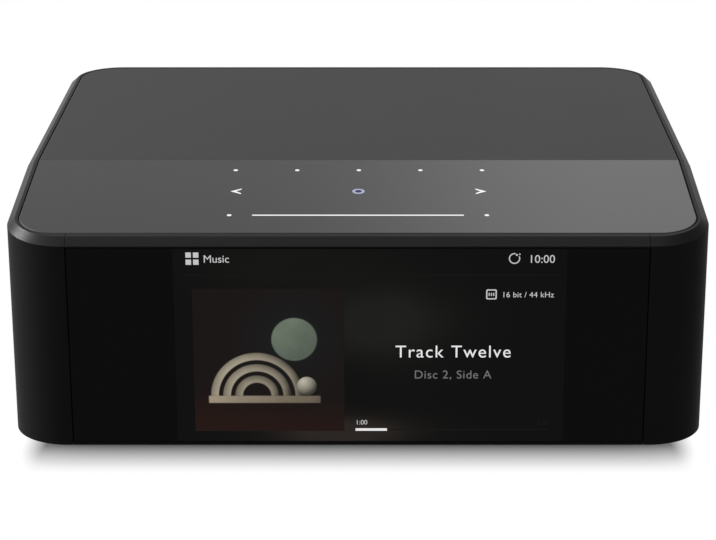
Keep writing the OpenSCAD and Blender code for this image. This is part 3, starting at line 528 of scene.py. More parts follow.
def block(name, lo, hi):
    """Box between two corners, to be shaped further."""
    lo, hi = Vector(lo), Vector(hi)
    focus()
    bpy.ops.mesh.primitive_cube_add(size=1, location=(lo + hi) / 2)
    obj = new_object(name)
    bpy.ops.transform.resize(value=hi - lo)
    return apply_place(obj)


def bar(name, at, radius, reach, axis, sides=48):
    """Round bar centred on a point, along one axis, to be shaped further."""
    focus()
    bpy.ops.mesh.primitive_cylinder_add(vertices=sides, radius=radius, depth=reach, location=at)
    obj = new_object(name)
    obj.rotation_euler = ((0, math.pi / 2, 0), (math.pi / 2, 0, 0), (0, 0, 0))[axis]
    return apply_place(obj)


def round_edges(obj, test, radius, segments):
    with editing(obj, "EDGE"):
        pick(obj, "edges", test)
        bpy.ops.mesh.bevel(offset=radius, segments=segments, profile=0.5,
                           affect="EDGES", clamp_overlap=False)


def slice_off(obj, point, normal):
    """Cuts away what lies on the normal's side of a plane and closes the cut."""
    with editing(obj, "FACE", "SELECT"):
        bpy.ops.mesh.bisect(plane_co=point, plane_no=normal, use_fill=True, clear_outer=True)


def modify(obj, kind, **settings):
    """Adds a modifier with these settings and applies it."""
    made = obj.modifiers.new(kind, kind)
    for key, value in settings.items():
        setattr(made, key, value)
    focus(obj)
    bpy.ops.object.modifier_apply(modifier=made.name)
    return obj


def cut(obj, *tools):
    """Cuts shaped tools out of a piece and drops them."""
    for tool in tools:
        modify(obj, "BOOLEAN", operation="DIFFERENCE", solver="EXACT", object=tool)
        bpy.data.objects.remove(tool)
    return obj


def even_normals(obj):
    """Shades a piece smooth between its sharp edges, with its flat faces kept flat."""
    focus(obj)
    bpy.ops.object.shade_smooth_by_angle(angle=math.radians(40))
    return modify(obj, "WEIGHTED_NORMAL", keep_sharp=True, weight=80)


def soften(obj, width, segments=2, angle=25.0):
    """Rounds every sharp edge a little and shades the piece smooth between what is left."""
    modify(obj, "BEVEL", width=width, segments=segments, limit_method="ANGLE",
           angle_limit=math.radians(angle), use_clamp_overlap=True)
    return even_normals(obj)


def joined(name, objs):
    focus(*objs)
    bpy.ops.object.join()
    return new_object(name)


def copy_at(obj, offset):
    """A copy with its own mesh, moved by an offset."""
    focus(obj)
    bpy.ops.object.duplicate()
    other = bpy.context.object
    other.location = offset
    return apply_place(other)


@contextmanager
def drawing(name, path):
    """Edit mode on a new line along a path, all selected; its faces are turned outwards at the end."""
    focus()
    bpy.ops.mesh.primitive_plane_add(size=MM, location=(0, 0, 0))
    obj = new_object(name)
    with editing(obj, "VERT", "SELECT"):
        bpy.ops.mesh.merge(type="CENTER")
        bpy.ops.transform.translate(value=path[0])
        for a, b in zip(path, path[1:]):
            bpy.ops.mesh.extrude_region_move(TRANSFORM_OT_translate={"value": b - a})
        bpy.ops.mesh.select_all(action="SELECT")
        yield obj
        bpy.ops.mesh.select_all(action="SELECT")
        bpy.ops.mesh.normals_make_consistent(inside=False)


def lathe(name, profile, at, steps=64):
    """Turned piece: a closed profile of radius and height in millimetres, spun round an upright axis."""
    with drawing(name, [Vector((r * MM, 0, h * MM)) for r, h in profile + profile[:1]]) as obj:
        bpy.ops.mesh.spin(steps=steps, angle=2 * math.pi, center=(0, 0, 0), axis=(0, 0, 1))
        bpy.ops.mesh.select_all(action="SELECT")
        bpy.ops.mesh.remove_doubles(threshold=SAME)
    obj.location = at
    return apply_place(obj)


def plate(name, points, thick):
    """Flat plate drawn point by point in the x-y plane, in millimetres, facing up."""
    with drawing(name, [Vector((x * MM, y * MM, 0)) for x, y in points]) as obj:
        bpy.ops.mesh.edge_face_add()
        bpy.ops.mesh.extrude_region_move(TRANSFORM_OT_translate={"value": (0, 0, thick)})
    return obj


def circle_points(x, y, radius, start=0.0, end=360.0, steps=48):
    """Points of an arc in degrees; a full circle leaves out its last point."""
    count = steps if end - start >= 360 else steps + 1
    angles = [math.radians(start + (end - start) * i / steps) for i in range(count)]
    return [(x + radius * math.cos(a), y + radius * math.sin(a)) for a in angles]


def dot(name, x, y, radius, thick):
    return plate(name, circle_points(x, y, radius, steps=32), thick)


def ring(name, x, y, outer, inner, thick):
    """Flat ring, cut from a disc."""
    return cut(dot(name, x, y, outer, thick), bar("hole", (x * MM, y * MM, 0), inner * MM, MM, 2))


def open_ring(name, x, y, outer, inner, thick, start, end):
    """Flat ring with a gap, between two angles in degrees."""
    outline = circle_points(x, y, outer, start, end)
    outline += circle_points(x, y, inner, start, end)[::-1]
    return plate(name, outline, thick)


def strip(name, lo, hi, thick):
    """Flat rectangle between two corners."""
    return plate(name, [lo, (hi[0], lo[1]), hi, (lo[0], hi[1])], thick)


def round_square(name, x, y, half, corner, thick):
    """Flat square with round corners."""
    inner = half - corner
    outline = []
    for start, a, b in ((0, 1, 1), (90, -1, 1), (180, -1, -1), (270, 1, -1)):
        outline += circle_points(x + a * inner, y + b * inner, corner, start, start + 90, 6)
    return plate(name, outline, thick)


def lay(obj, at, tilt):
    """Turns a flat drawing about x and puts it in place."""
    obj.rotation_euler = Euler((tilt, 0, 0))
    obj.location = at
    return apply_place(obj)


def blank_slots(obj, count):
    """Empty material slots."""
    for _ in range(count):
        obj.data.materials.append(None)


def fill_slot(obj, slot, test):
    """Gives the faces that pass a test to one material slot."""
    with editing(obj, "FACE"):
        pick(obj, "faces", test)
        obj.active_material_index = slot
        bpy.ops.object.material_slot_assign()


def dress(obj, finish, nodes=(), body="root"):
    """Gives a finished piece its materials and its body, and hides the CAD nodes that it stands for."""
    materials = finish if isinstance(finish, list) else [finish]
    if len(obj.data.materials) != len(materials):
        obj.data.materials.clear()
        blank_slots(obj, len(materials))
    for index, material in enumerate(materials):
        obj.data.materials[index] = material
    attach(obj, body)
    if nodes:
        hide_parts(*nodes)
    focus()


# Forms of the casing

def roof_tilt():
    casing = bpy.context.scene.streamer_casing
    return math.atan2(casing.front_drop, casing.slope_run)


def crease_point():
    """Point of the line where the level top meets the sloped one."""
    return Vector((0, BODY_LO.y + bpy.context.scene.streamer_casing.slope_run, BODY_HI.z))


def roof_normal():
    return Vector((0, -math.sin(roof_tilt()), math.cos(roof_tilt())))


def on_slope(y):
    """Point of the sloped top at a depth in millimetres behind the front."""
    crease = crease_point()
    depth = BODY_LO.y + y * MM
    return Vector((0, depth, crease.z - (crease.y - depth) * math.tan(roof_tilt())))


def rim_mouth():
    """Corners of the opening that the rim leaves for the glass and the cover."""
    casing = bpy.context.scene.streamer_casing
    side = casing.bevel_in + casing.side_land
    return (Vector((BODY_LO.x + side, BODY_LO.y + casing.bevel_in + casing.front_land, RIM_FOOT)),
            Vector((BODY_HI.x - side, BODY_HI.y - side, BODY_HI.z + CLEAR)))


def casing_form(name):
    """Outside form of the casing: round corners, level rear top, sloped front top and a bevel all round."""
    casing = bpy.context.scene.streamer_casing
    obj = block(name, (BODY_LO.x, BODY_LO.y, WALL_Z), BODY_HI)
    round_edges(obj, along(2), casing.corner, segments=28)
    slice_off(obj, crease_point(), roof_normal())
    with editing(obj, "FACE"):
        pick(obj, "faces", lambda face: face.normal.z > 0.9)
        bpy.ops.mesh.inset(thickness=casing.bevel_in, use_even_offset=True)
        rim = (WALL_Z + BODY_HI.z) / 2
        pick(obj, "verts", lambda v: v.co.z > rim and any(abs(f.normal.z) < 0.1 for f in v.link_faces))
        bpy.ops.transform.translate(value=(0, 0, -casing.bevel_drop))
    return obj


def mark_rim(obj):
    """Slots for the walls, the bevel and the land, filled when the piece is dressed."""
    blank_slots(obj, 3)
    for slot, least in ((1, 0.2), (2, 0.9)):
        fill_slot(obj, slot, lambda f: f.normal.z > least and f.calc_center_median().z > RIM_FOOT)


def rounded_block(name, lo, hi, front_radius, rear_radius):
    """Upright block with one radius at its front corners and another at its rear corners."""
    obj = block(name, lo, hi)
    for depth, radius in ((lo[1], front_radius), (hi[1], rear_radius)):
        if radius:
            round_edges(obj, upright_at(depth, hi[0]), radius, segments=24)
    return obj


def rounded_copy(node, name, width):
    """Copy of a CAD node, merged, with its flat faces whole and its edges rounded."""
    obj = bpy.data.objects.new(name, NODES[node].data.copy())
    bpy.context.scene.collection.objects.link(obj)
    with editing(obj, "VERT", "SELECT"):
        bpy.ops.mesh.remove_doubles(threshold=SAME / 2)
        bpy.ops.mesh.dissolve_limited(angle_limit=math.radians(0.5))
    return soften(obj, width, angle=30.0)


# Pieces

class STREAMER_OT_wrap(bpy.types.Operator):
    """Wrap of the sides and the back, with its bevelled rim and its openings"""

    bl_idname = "streamer.wrap"
    bl_label = "Wrap"

    def execute(self, context):
        casing = context.scene.streamer_casing
        wall = casing.wall
        seam = BODY_HI.x - casing.seam_in
        obj = casing_form("wrap")
        inner = rounded_block("inner", (BODY_LO.x + wall, BODY_LO.y + wall, 0),
                              (BODY_HI.x - wall, BODY_HI.y - wall, BODY_HI.z - casing.panel),
                              casing.corner - wall, casing.corner - wall)
        slice_off(inner, crease_point() - roof_normal() * casing.panel, roof_normal())
        mouth = rounded_block("mouth", *rim_mouth(), casing.glass_corner + casing.gap,
                              casing.corner - casing.bevel_in - casing.side_land)
        front = block("front", (-seam, BODY_LO.y - CLEAR, 0),
                      (seam, BODY_LO.y + casing.corner, BODY_HI.z + CLEAR))
        rear = block("rear", (-REAR_HALF * MM, BODY_HI.y - wall - CLEAR, REAR_FOOT * MM),
                     (REAR_HALF * MM, BODY_HI.y + CLEAR, REAR_HEAD * MM))
        round_edges(rear, along(1), REAR_CORNER * MM, segments=12)
        phones = bar("phones", (0, PHONES_Y * MM, PHONES_Z * MM), PHONES_RADIUS * MM, PHONES_REACH * MM, 0)
        holes = [bar("screw_hole", (x * MM, BODY_HI.y, z * MM), SCREW_HOLE_RADIUS * MM,
                     SCREW_HOLE_DEPTH * MM, 1, sides=32) for x, z in TRAY_SCREWS]
        cut(obj, inner, mouth, front, rear, phones, *holes)
        mark_rim(obj)
        soften(obj, casing.arris)
        dress(obj, rim_finishes("wrap"), ["wrap_shell"])
        return {"FINISHED"}


class STREAMER_OT_bezel(bpy.types.Operator):
    """Front strip between the seams: bevel, land, brow and lower lip round the window"""

    bl_idname = "streamer.bezel"
    bl_label = "Bezel"

    def execute(self, context):
        casing = context.scene.streamer_casing
        arris = 0.12 * MM
        gap, rear_gap = 0.1 * MM, 0.3 * MM
        obj = casing_form("bezel")
        end = BODY_HI.x - casing.seam_in - casing.seam_gap
        slice_off(obj, (end, 0, 0), (1, 0, 0))
        slice_off(obj, (-end, 0, 0), (-1, 0, 0))
        slice_off(obj, rim_mouth()[0], (0, 1, 0))
        pocket = block("pocket", (BEZEL_LO.x - CLEAR, BODY_LO.y - CLEAR, WINDOW_LO.z - gap),
                       (BEZEL_HI.x + CLEAR, WINDOW_HI.y + rear_gap, WINDOW_HI.z + gap))
        opening = block("opening", (LCD_LO.x, BODY_LO.y - CLEAR, WINDOW_LO.z + CLEAR),
                        (LCD_HI.x, BEZEL_HI.y + CLEAR, WINDOW_HI.z - CLEAR))
        cut(obj, pocket, opening)
        mark_rim(obj)
        soften(obj, arris)
        dress(obj, rim_finishes("bezel"), ["front_bezel"])
        return {"FINISHED"}


class STREAMER_OT_window(bpy.types.Operator):
    """Black glass in front of the display"""

    bl_idname = "streamer.window"
    bl_label = "Display window"

    def execute(self, context):
        look = context.scene.streamer_finish
        margin, arris = 0.4 * MM, 0.15 * MM
        obj = block("window", (WINDOW_LO.x, WINDOW_FACE, WINDOW_LO.z), WINDOW_HI)
        with editing(obj, "FACE"):
            pick(obj, "faces", lambda f: f.normal.y < -0.9)
            bpy.ops.mesh.inset(thickness=margin)
        soften(obj, arris, segments=3)
        finish = black_glass("window_glass", look.glass, rough=0.06, level=0.046)
        dress(obj, finish, ["display_window"])
        return {"FINISHED"}


class STREAMER_OT_touch_glass(bpy.types.Operator):
    """Sloped black glass of the touch surface"""

    bl_idname = "streamer.touch_glass"
    bl_label = "Touch glass"

    def execute(self, context):
        casing = context.scene.streamer_casing
        look = context.scene.streamer_finish
        lo, hi = rim_mouth()
        obj = rounded_block("touch_pane", (lo.x + casing.gap, lo.y + casing.gap, GLASS_LO.z - CLEAR),
                            (hi.x - casing.gap, GLASS_HI.y + CLEAR, hi.z), casing.glass_corner, 0)
        slice_off(obj, crease_point(), roof_normal())
        slice_off(obj, crease_point() - roof_normal() * casing.panel, -roof_normal())
        soften(obj, PANEL_ARRIS, segments=3)
        slice_off(obj, crease_point() - Vector((0, CREASE_HALF, 0)), (0, 1, 0))
        even_normals(obj)
        blank_slots(obj, 2)
        fill_slot(obj, 1, lambda f: f.normal.dot(roof_normal()) < 0.99)
        finishes = [black_glass("touch_etched", look.glass, rough=0.34, level=0.235),
                    black_glass("touch_ground_edge", look.glass, rough=0.6, level=0.15)]
        dress(obj, finishes, ["touch_glass"])
        return {"FINISHED"}


class STREAMER_OT_cover(bpy.types.Operator):
    """Matte cover over the rear half of the top"""

    bl_idname = "streamer.cover"
    bl_label = "Top cover"

    def execute(self, context):
        casing = context.scene.streamer_casing
        look = context.scene.streamer_finish
        lo, hi = rim_mouth()
        obj = rounded_block("cover", (lo.x + casing.gap, COVER_LO.y - CLEAR, COVER_LO.z),
                            (hi.x - casing.gap, hi.y - casing.gap, COVER_HI.z), 0,
                            casing.corner - casing.bevel_in - casing.side_land - casing.gap)
        soften(obj, PANEL_ARRIS, segments=3)
        slice_off(obj, crease_point() + Vector((0, CREASE_HALF, 0)), (0, -1, 0))
        even_normals(obj)
        finish = satin("cover_matte", look.cover, rough=0.6, level=0.115, grain=2200.0, bump=0.15)
        dress(obj, finish, ["top_cover"])
        return {"FINISHED"}


class STREAMER_OT_touch_marks(bpy.types.Operator):
    """Printed marks of the touch surface and its lit ring"""

    bl_idname = "streamer.touch_marks"
    bl_label = "Touch marks"

    def execute(self, context):
        look = context.scene.streamer_finish
        ink = 0.03 * MM
        rows = {"preset": 54.2, "skip": 36.95, "volume": 18.3}
        pitch, radius = 20.2, 0.74
        tip, notch, tail = 41.1, 39.25, 37.6
        tail_half, notch_half = 2.2, 1.48
        line_half, line_thick_half = 33.2, 0.4
        ring_outer, ring_inner = 1.98, 1.1

        chevron = [(tip, 0), (tail, tail_half), (tail, notch_half),
                   (notch, 0), (tail, -notch_half), (tail, -tail_half)]
        drawings = {
            "preset": [dot("preset_dot", i * pitch, 0, radius, ink) for i in range(-2, 3)],
            "skip": [plate(name, [(side * x, y) for x, y in chevron], ink)
                     for name, side in (("skip_back", -1), ("skip_on", 1))],
            "volume": [dot("volume_dot", i * pitch, 0, radius, ink) for i in (-2, 2)],
        }
        drawings["volume"].append(
            strip("volume_line", (-line_half, -line_thick_half), (line_half, line_thick_half), ink))
        pieces = [lay(obj, on_slope(rows[row]), roof_tilt())
                  for row, objs in drawings.items() for obj in objs]
        marks = joined("touch_marks", pieces)
        dress(marks, glow("mark_ink", look.mark, rough=0.5, level=0.2))
        for obj, light in ((ring("lit_ring", 0, 0, ring_outer, ring_inner, ink), look.ring),
                           (dot("lit_middle", 0, 0, ring_inner, ink), look.ring_middle)):
            lay(obj, on_slope(rows["skip"]), roof_tilt())
            dress(obj, glow(obj.name + "_light", light))
        return {"FINISHED"}


def screen_finish():
    """The screen's dark ground, with soft patches of light beside the picture, over it and at its foot."""
    patches = (
        {"at": (8.0, 50.0), "reach": (19.0, 11.0), "tint": (0.0100, 0.0102, 0.0086)},
        {"at": (-20.0, 68.0), "reach": (26.0, 9.0), "tint": (0.0042, 0.0040, 0.0034)},
        {"at": (-6.0, 13.0), "reach": (19.0, 4.5), "tint": (0.0200, 0.0155, 0.0130)},
    )
    f = new_finish("screen_ground")
    x, _, z = f.axes()
    cloud = f.noise(38.0)
    colour = (0.0012, 0.0012, 0.0012)
    for patch in patches:
        (at_x, at_z), (wide, high) = patch["at"], patch["reach"]
        away = ((x - at_x) / wide) ** 2.0 + ((z - at_z) / high) ** 2.0
        colour = f.blend((0.55 + cloud * 0.9) / (1 + away ** 2.0), colour, patch["tint"])
    return f.lit(colour, rough=0.06, level=0.048)


def picture_finish(mid_x, mid_z, half):
    """Plain arches on a shelf, a disc and a ball in cream and sage on dark brown."""
    ground, haze, earth = (0.0075, 0.0046, 0.0042), (0.0070, 0.0085, 0.0090), (0.0150, 0.0058, 0.0042)
    cream, sand, bone, sage = (0.50, 0.44, 0.33), (0.44, 0.36, 0.26), (0.56, 0.52, 0.42), (0.20, 0.25, 0.19)
    crisp = 0.01
    disc_at, disc_radius = (0.34, 0.3), 0.3
    arch_x, arch_radii, arch_half = -0.16, (0.56, 0.4, 0.24), 0.05
    shelf_x, shelf_half, shelf_top, shelf_foot = -0.06, 0.74, -0.5, -0.6
    ball_at, ball_radius, ball_shine = (0.5, -0.36), 0.13, (0.45, -0.29)

    f = new_finish("picture_arches")
    x, _, z = f.axes()
    u, v = (x - mid_x) / half, (z - mid_z) / half
    cloud = f.noise(160.0, 3.0)

    def away(at_u, at_v):
        return ((u - at_u) ** 2.0 + (v - at_v) ** 2.0) ** 0.5

    def over(mask, below, tint, light):
        shown = light.math("MAXIMUM", 0.06).math("MINIMUM", 1.0)
        return f.blend(mask, below, f.blend(shown, tuple(c * 0.03 for c in tint), tint))

    light = 0.42 + u * -0.34 + v * 0.3 + cloud.swing(0.3)
    colour = f.blend(away(0.3, 0.3).below(0.5, 0.5), ground, haze)
    colour = f.blend((v + 0.08 * u).below(-0.7, 0.25), colour, earth)
    colour = over(away(*disc_at).below(disc_radius, 0.012), colour, sage, light + 0.15)
    under_top = v.below(shelf_top, crisp)
    for radius in arch_radii:
        reach = away(arch_x, shelf_top) - radius
        arch = reach.math("ABSOLUTE").below(arch_half, crisp) * (1 - under_top)
        colour = over(arch, colour, cream, light - reach * 4.0)
    shelf = under_top * (1 - v.below(shelf_foot, crisp))
    shelf = shelf * (u - shelf_x).math("ABSOLUTE").below(shelf_half, crisp)
    colour = over(shelf, colour, sand, light + 0.2)
    ball = away(*ball_at).below(ball_radius, crisp)
    colour = over(ball, colour, bone, 0.9 - away(*ball_shine) * 4.5)
    return f.lit(colour, rough=0.06, level=0.046)


def lettering(name, body, x, z, cap, align="LEFT", spacing=1.0):
    """Text of a given cap height in millimetres, as a thin mesh that still lies flat."""
    font_cap, drawn_depth, depth = 0.729, 0.01, 0.004 * MM
    focus()
    bpy.ops.object.text_add(location=(0, 0, 0))
    obj = new_object(name)
    obj.data.body = body
    obj.data.align_x = align
    obj.data.space_character = spacing
    obj.data.extrude = drawn_depth
    obj.data.size = 1
    focus(obj)
    bpy.ops.object.convert(target="MESH")
    obj = bpy.context.object
    size = cap * MM / font_cap
    obj.scale = (size, size, depth / drawn_depth)
    obj.location = (x * MM, z * MM, 0)
    return apply_place(obj)


class STREAMER_OT_screen(bpy.types.Operator):
    """Lit screen with its picture, readouts and progress bar"""

    bl_idname = "streamer.screen"
    bl_label = "Screen"

    def execute(self, context):
        screen = context.scene.streamer_screen
        film = 0.008 * MM
        ground_lo, ground_hi = (-56.8, 1.3), (64.4, 65.2)
        picture_lo, picture_hi = (-51.2, 4.8), (-4.3, 52.3)
        picture_x, picture_z, picture_half = -27.8, 28.5, 23.6
        bar_start, bar_now, bar_end = -0.8, 9.1, 59.8
        played_foot, played_head, track_foot, track_head = 4.85, 5.7, 5.1, 5.45
        rule_lo, rule_hi = (-54.0, 56.6), (62.0, 56.8)
        dial_x, dial_z = 48.2, 62.15
        box_x, box_z = 41.3, 50.45
        lines_x, line_half, line_foot, line_head = (40.6, 41.3, 42.0), 0.17, 49.95, 50.95
        tiles_x, tiles_z, tile_half = (-52.0, -49.7), (60.95, 63.25), 0.85

        def hang(obj, layer):
            return lay(obj, (0, WINDOW_FACE - layer * film, WALL_Z), math.pi / 2)

        ground = hang(strip("screen_ground", ground_lo, ground_hi, film), 0)
        dress(ground, screen_finish())
        picture = hang(strip("screen_picture", picture_lo, picture_hi, film), 1)
        dress(picture, picture_finish(picture_x, picture_z + WALL_Z / MM, picture_half))

        white = [
            lettering("title", screen.title, x=29.7, z=29.6, cap=4.2, align="CENTER", spacing=1.13),
            strip("played", (bar_start, played_foot), (bar_now, played_head), film),
        ]
        pale = [
            lettering("menu", screen.menu, x=-47.5, z=60.8, cap=2.55),
            lettering("clock", screen.clock, x=52.5, z=60.75, cap=2.65, spacing=1.02),
            lettering("rate", screen.rate, x=44.5, z=49.5, cap=1.85, spacing=1.04),
            lettering("elapsed", screen.elapsed, x=bar_start, z=7.0, cap=1.6),
            open_ring("dial_ring", dial_x, dial_z, outer=1.75, inner=1.4, thick=film, start=80, end=385),
            dot("dial_dot", 48.9, 63.3, 0.32, film),
            dot("dial_spark", 49.8, 63.5, 0.24, film),
            cut(round_square("rate_box", box_x, box_z, half=1.65, corner=0.5, thick=film),
                lay(round_square("rate_inside", box_x, box_z, half=1.25, corner=0.3, thick=3 * film),
                    (0, 0, -film), 0)),
        ]
        pale += [strip("menu_tile", (x - tile_half, z - tile_half), (x + tile_half, z + tile_half), film)
                 for x in tiles_x for z in tiles_z]
        pale += [strip("rate_bar", (x - line_half, line_foot), (x + line_half, line_head), film)
                 for x in lines_x]
        grey = [lettering("second", screen.line, x=29.6, z=22.55, cap=2.85, align="CENTER", spacing=1.08)]
        dim = [
            lettering("total", screen.total, x=60.0, z=6.9, cap=1.6, align="RIGHT"),
            strip("track", (bar_now, track_foot), (bar_end, track_head), film),
            strip("rule", rule_lo, rule_hi, film),
        ]
        for name, objs, level in (("readout_white", white, 0.80), ("readout_pale", pale, 0.55),
                                  ("readout_grey", grey, 0.16), ("readout_dim", dim, 0.0055)):
            obj = joined(name, [hang(obj, 2) for obj in objs])
            dress(obj, glow(name + "_light", (level, level, level)))
        return {"FINISHED"}


class STREAMER_OT_feet(bpy.types.Operator):
    """Four turned rubber feet with a grip ring"""

    bl_idname = "streamer.feet"
    bl_label = "Feet"

    def execute(self, context):
        lo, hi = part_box("rubber_feet")
        profile = [(3.05, 0.3), (3.35, 0), (5.2, 0), (5.5, 0.4), (5.8, 0), (7.2, 0), (7.9, 0.3), (8.25, 0.9),
                   (8.9, 4.6), (9.0, 5), (1.65, 5), (1.65, 2.4), (3.05, 2.4)]
        radius = 9 * MM
        first = lathe("foot", profile, (lo.x + radius, lo.y + radius, 0))
        span = hi - lo - Vector((2 * radius, 2 * radius, 0))
        feet = [first] + [copy_at(first, (x * span.x, y * span.y, 0)) for x, y in ((0, 1), (1, 0), (1, 1))]
        obj = soften(joined("feet", feet), 0.1 * MM, angle=20.0)
        dress(obj, rubber("foot_rubber", (0.010, 0.010, 0.010)), ["rubber_feet"])
        return {"FINISHED"}


class STREAMER_OT_base(bpy.types.Operator):
    """Base pan with its two rows of vent slots"""

    bl_idname = "streamer.base"
    bl_label = "Base pan"

    def execute(self, context):
        obj = rounded_copy("base_pan", "base", 0.25 * MM)
        finish = satin("base_paint", (0.008, 0.008, 0.0085), rough=0.55, level=0.3, grain=1800.0, bump=0.3)
        dress(obj, finish, ["base_pan"])
        return {"FINISHED"}


# CAD nodes of the rear, each with its finish and the rounding of its edges in millimetres

REAR_PIECES = {
    "rear_tray": ("tray_black", 0.25),
    "rear_screws": ("screw_black", 0.15),
    "mains_inlet": ("socket_black", 0.25),
    "inlet_pins": ("nickel", 0.25),
    "network_socket": ("nickel", 0.1),
    "usb_socket": ("nickel", 0.1),
    "video_socket": ("nickel", 0.1),
    "socket_tongues": ("socket_black", 0.1),
    "phono_barrels": ("gold", 0.12),
    "phono_inserts": ("phono_colours", 0.12),
    "balanced_shells": ("socket_black", 0.25),
    "balanced_pins": ("gold", 0.25),
    "optical_housings": ("socket_black", 0.15),
    "minijack_sockets": ("socket_black", 0.15),
    "headphone_socket_left": ("socket_black", 0.2),
    "headphone_socket_right": ("socket_black", 0.2),
    "foot_screws": ("screw_steel", 0.15),
    "base_screws": ("screw_steel", 0.15),
    "optical_shutter_in": ("shutter_grey", 0.1),
    "optical_shutter_out": ("shutter_grey", 0.1),
}


def phono_finish():
    """Moulded inserts, each in its channel's colour by its place along the tray."""
    black, red = (0.012, 0.012, 0.013), (0.42, 0.012, 0.012)
    white, orange = (0.62, 0.62, 0.60), (0.70, 0.16, 0.015)
    f = new_finish("phono_colours")
    x, _, _ = f.axes()
    fine = f.noise(2600.0)
    colour = orange
    for edge, tint in ((20.0, white), (-5.0, red), (-19.0, black)):
        colour = f.blend(x.below(edge, 0.01), colour, tint)
    return f.surface({
        "Base Color": f.blend(fine * 0.3, colour, (0.02, 0.02, 0.02)),
        "Roughness": 0.42 + fine.swing(0.2),
        "Normal": f.bump(fine, 0.08, 0.02),
    })


class STREAMER_OT_sockets(bpy.types.Operator):
    """Rear tray, sockets, shutters and visible screws, with rounded edges"""

    bl_idname = "streamer.sockets"
    bl_label = "Tray and sockets"

    def execute(self, context):
        finishes = {
            "tray_black": satin("tray_black", (0.010, 0.010, 0.0105), 0.5, 0.3, 1800.0, bump=0.2),
            "socket_black": satin("socket_black", (0.007, 0.007, 0.0075), 0.4, 0.4, 2600.0),
            "shutter_grey": satin("shutter_grey", (0.022, 0.022, 0.024), 0.35, 0.4, 2600.0),
            "nickel": bare_metal("nickel", (0.58, 0.57, 0.55), 0.28),
            "gold": bare_metal("gold", (0.83, 0.62, 0.27), 0.22),
            "screw_steel": bare_metal("screw_steel", (0.52, 0.52, 0.53), 0.3),
            "screw_black": satin("screw_black", (0.014, 0.014, 0.015), 0.4, 0.5, 3000.0),
            "phono_colours": phono_finish(),
        }
        for node, (finish, width) in REAR_PIECES.items():
            body = NODES[node]["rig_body"]
            obj = rounded_copy(node, node + "_finished", width * MM)
            dress(obj, finishes[finish], [node], body)
        return {"FINISHED"}


class STREAMER_OT_inner(bpy.types.Operator):
    """Finishes of the boards and the other pieces inside the casing"""

    bl_idname = "streamer.inner"
    bl_label = "Inner pieces"

    def execute(self, context):
        finishes = {
            "board_green": laminate("board_green", (0.012, 0.075, 0.035), (0.02, 0.13, 0.06)),
            "board_brown": laminate("board_brown", (0.17, 0.09, 0.03), (0.22, 0.13, 0.05)),
            "screw_steel": bare_metal("inner_screws", (0.52, 0.52, 0.53), 0.3),
            "standoff_brass": bare_metal("standoff_brass", (0.70, 0.55, 0.26), 0.3),
            "shield_tin": bare_metal("shield_tin", (0.62, 0.63, 0.64), 0.36),
            "sink_black": satin("sink_black", (0.02, 0.02, 0.022), 0.45, 0.5, 2000.0),
            "sink_bare": bare_metal("sink_bare", (0.60, 0.61, 0.62), 0.38),
            "carrier_plastic": satin("carrier_plastic", (0.018, 0.018, 0.018), 0.55, 0.4, 1500.0),
            "black_plastic": satin("black_plastic", (0.010, 0.010, 0.011), 0.45, 0.4, 2400.0),
            "chip_black": satin("chip_black", (0.012, 0.012, 0.014), 0.6, 0.4, 4000.0),
            "can_blue": satin("can_sleeve", (0.016, 0.030, 0.080), 0.3, 0.5, 900.0),
            "core_yellow": winding("core_tape", (0.62, 0.40, 0.07)),
            "coil_copper": winding("coil_copper", (0.45, 0.18, 0.06)),
            "flex_film": ribbon("flex_film", (0.72, 0.68, 0.55), (0.55, 0.50, 0.40)),
            "lead_black": rubber("lead_sheath", (0.014, 0.014, 0.014)),
            "gasket_foam": rubber("gasket_foam", (0.010, 0.010, 0.010)),
            "lcd_dark": black_glass("lcd_cell", (0.012, 0.013, 0.016), 0.2, 0.5),
            "guide_clear": satin("guide_frosted", (0.80, 0.83, 0.85), 0.3, 0.5, 1200.0),
            "ir_red": black_glass("ir_red", (0.05, 0.008, 0.012), 0.12, 0.5),
            "fuse_glass": black_glass("fuse_glass", (0.72, 0.74, 0.76), 0.08, 0.5),
        }
        for name, obj in NODES.items():
            if obj.hide_render:
                continue
            if SLOTS[name] not in finishes:
                raise RuntimeError(f"{name}: no finish for {SLOTS[name]}")
            obj.data.materials.clear()
            obj.data.materials.append(finishes[SLOTS[name]])
        return {"FINISHED"}


# Studio

def white_world(world, ambient):
    """White wherever it is seen, and an even light of the given strength on the object."""
    f = Finish(world)
    sky = f.node("Background", {"Color": (1, 1, 1, 1), "Strength": ambient + f.seen() * (1 - ambient)})
    f.node("OutputWorld", {"Surface": sky})
    return world


def floor_finish():
    """White wherever it is seen, but plain matte near the object, where its shadow lies."""
    half_x, half_y = 101.5, 77.0
    press_x, margin = 3.0, 20.0
    reach, fade, gain = 3.0, 27.0, 1.12
    f = new_finish("studio_white")
    x, y, _ = f.axes()
    over_x = (x.math("ABSOLUTE") - half_x).math("MAXIMUM", 0.0) * press_x
    over_y = (y.math("ABSOLUTE") - half_y).math("MAXIMUM", 0.0)
    outside = (over_x ** 2.0 + over_y ** 2.0) ** 0.5 - margin
    near = ((reach - outside) / fade).math("MAXIMUM", 0.0)
    near = (near ** gain * gain).math("MINIMUM", 1.0)
    matte = f.node("BsdfDiffuse", {"Color": (0.94, 0.94, 0.94, 1)})
    white = f.node("Emission", {"Color": (1, 1, 1, 1), "Strength": 1.0})
    both = f.node("MixShader", {0: f.seen() * (1 - near), 1: matte, 2: white})
    f.node("OutputMaterial", {"Surface": both})
    return f.owner


def keep_off(lamp, obj):
    """Keeps a lamp's light off one object."""
    flagged = bpy.data.collections.new(lamp.name + "_flagged")
    flagged.objects.link(obj)
    flagged.collection_objects[0].light_linking.link_state = "EXCLUDE"
    lamp.light_linking.receiver_collection = flagged


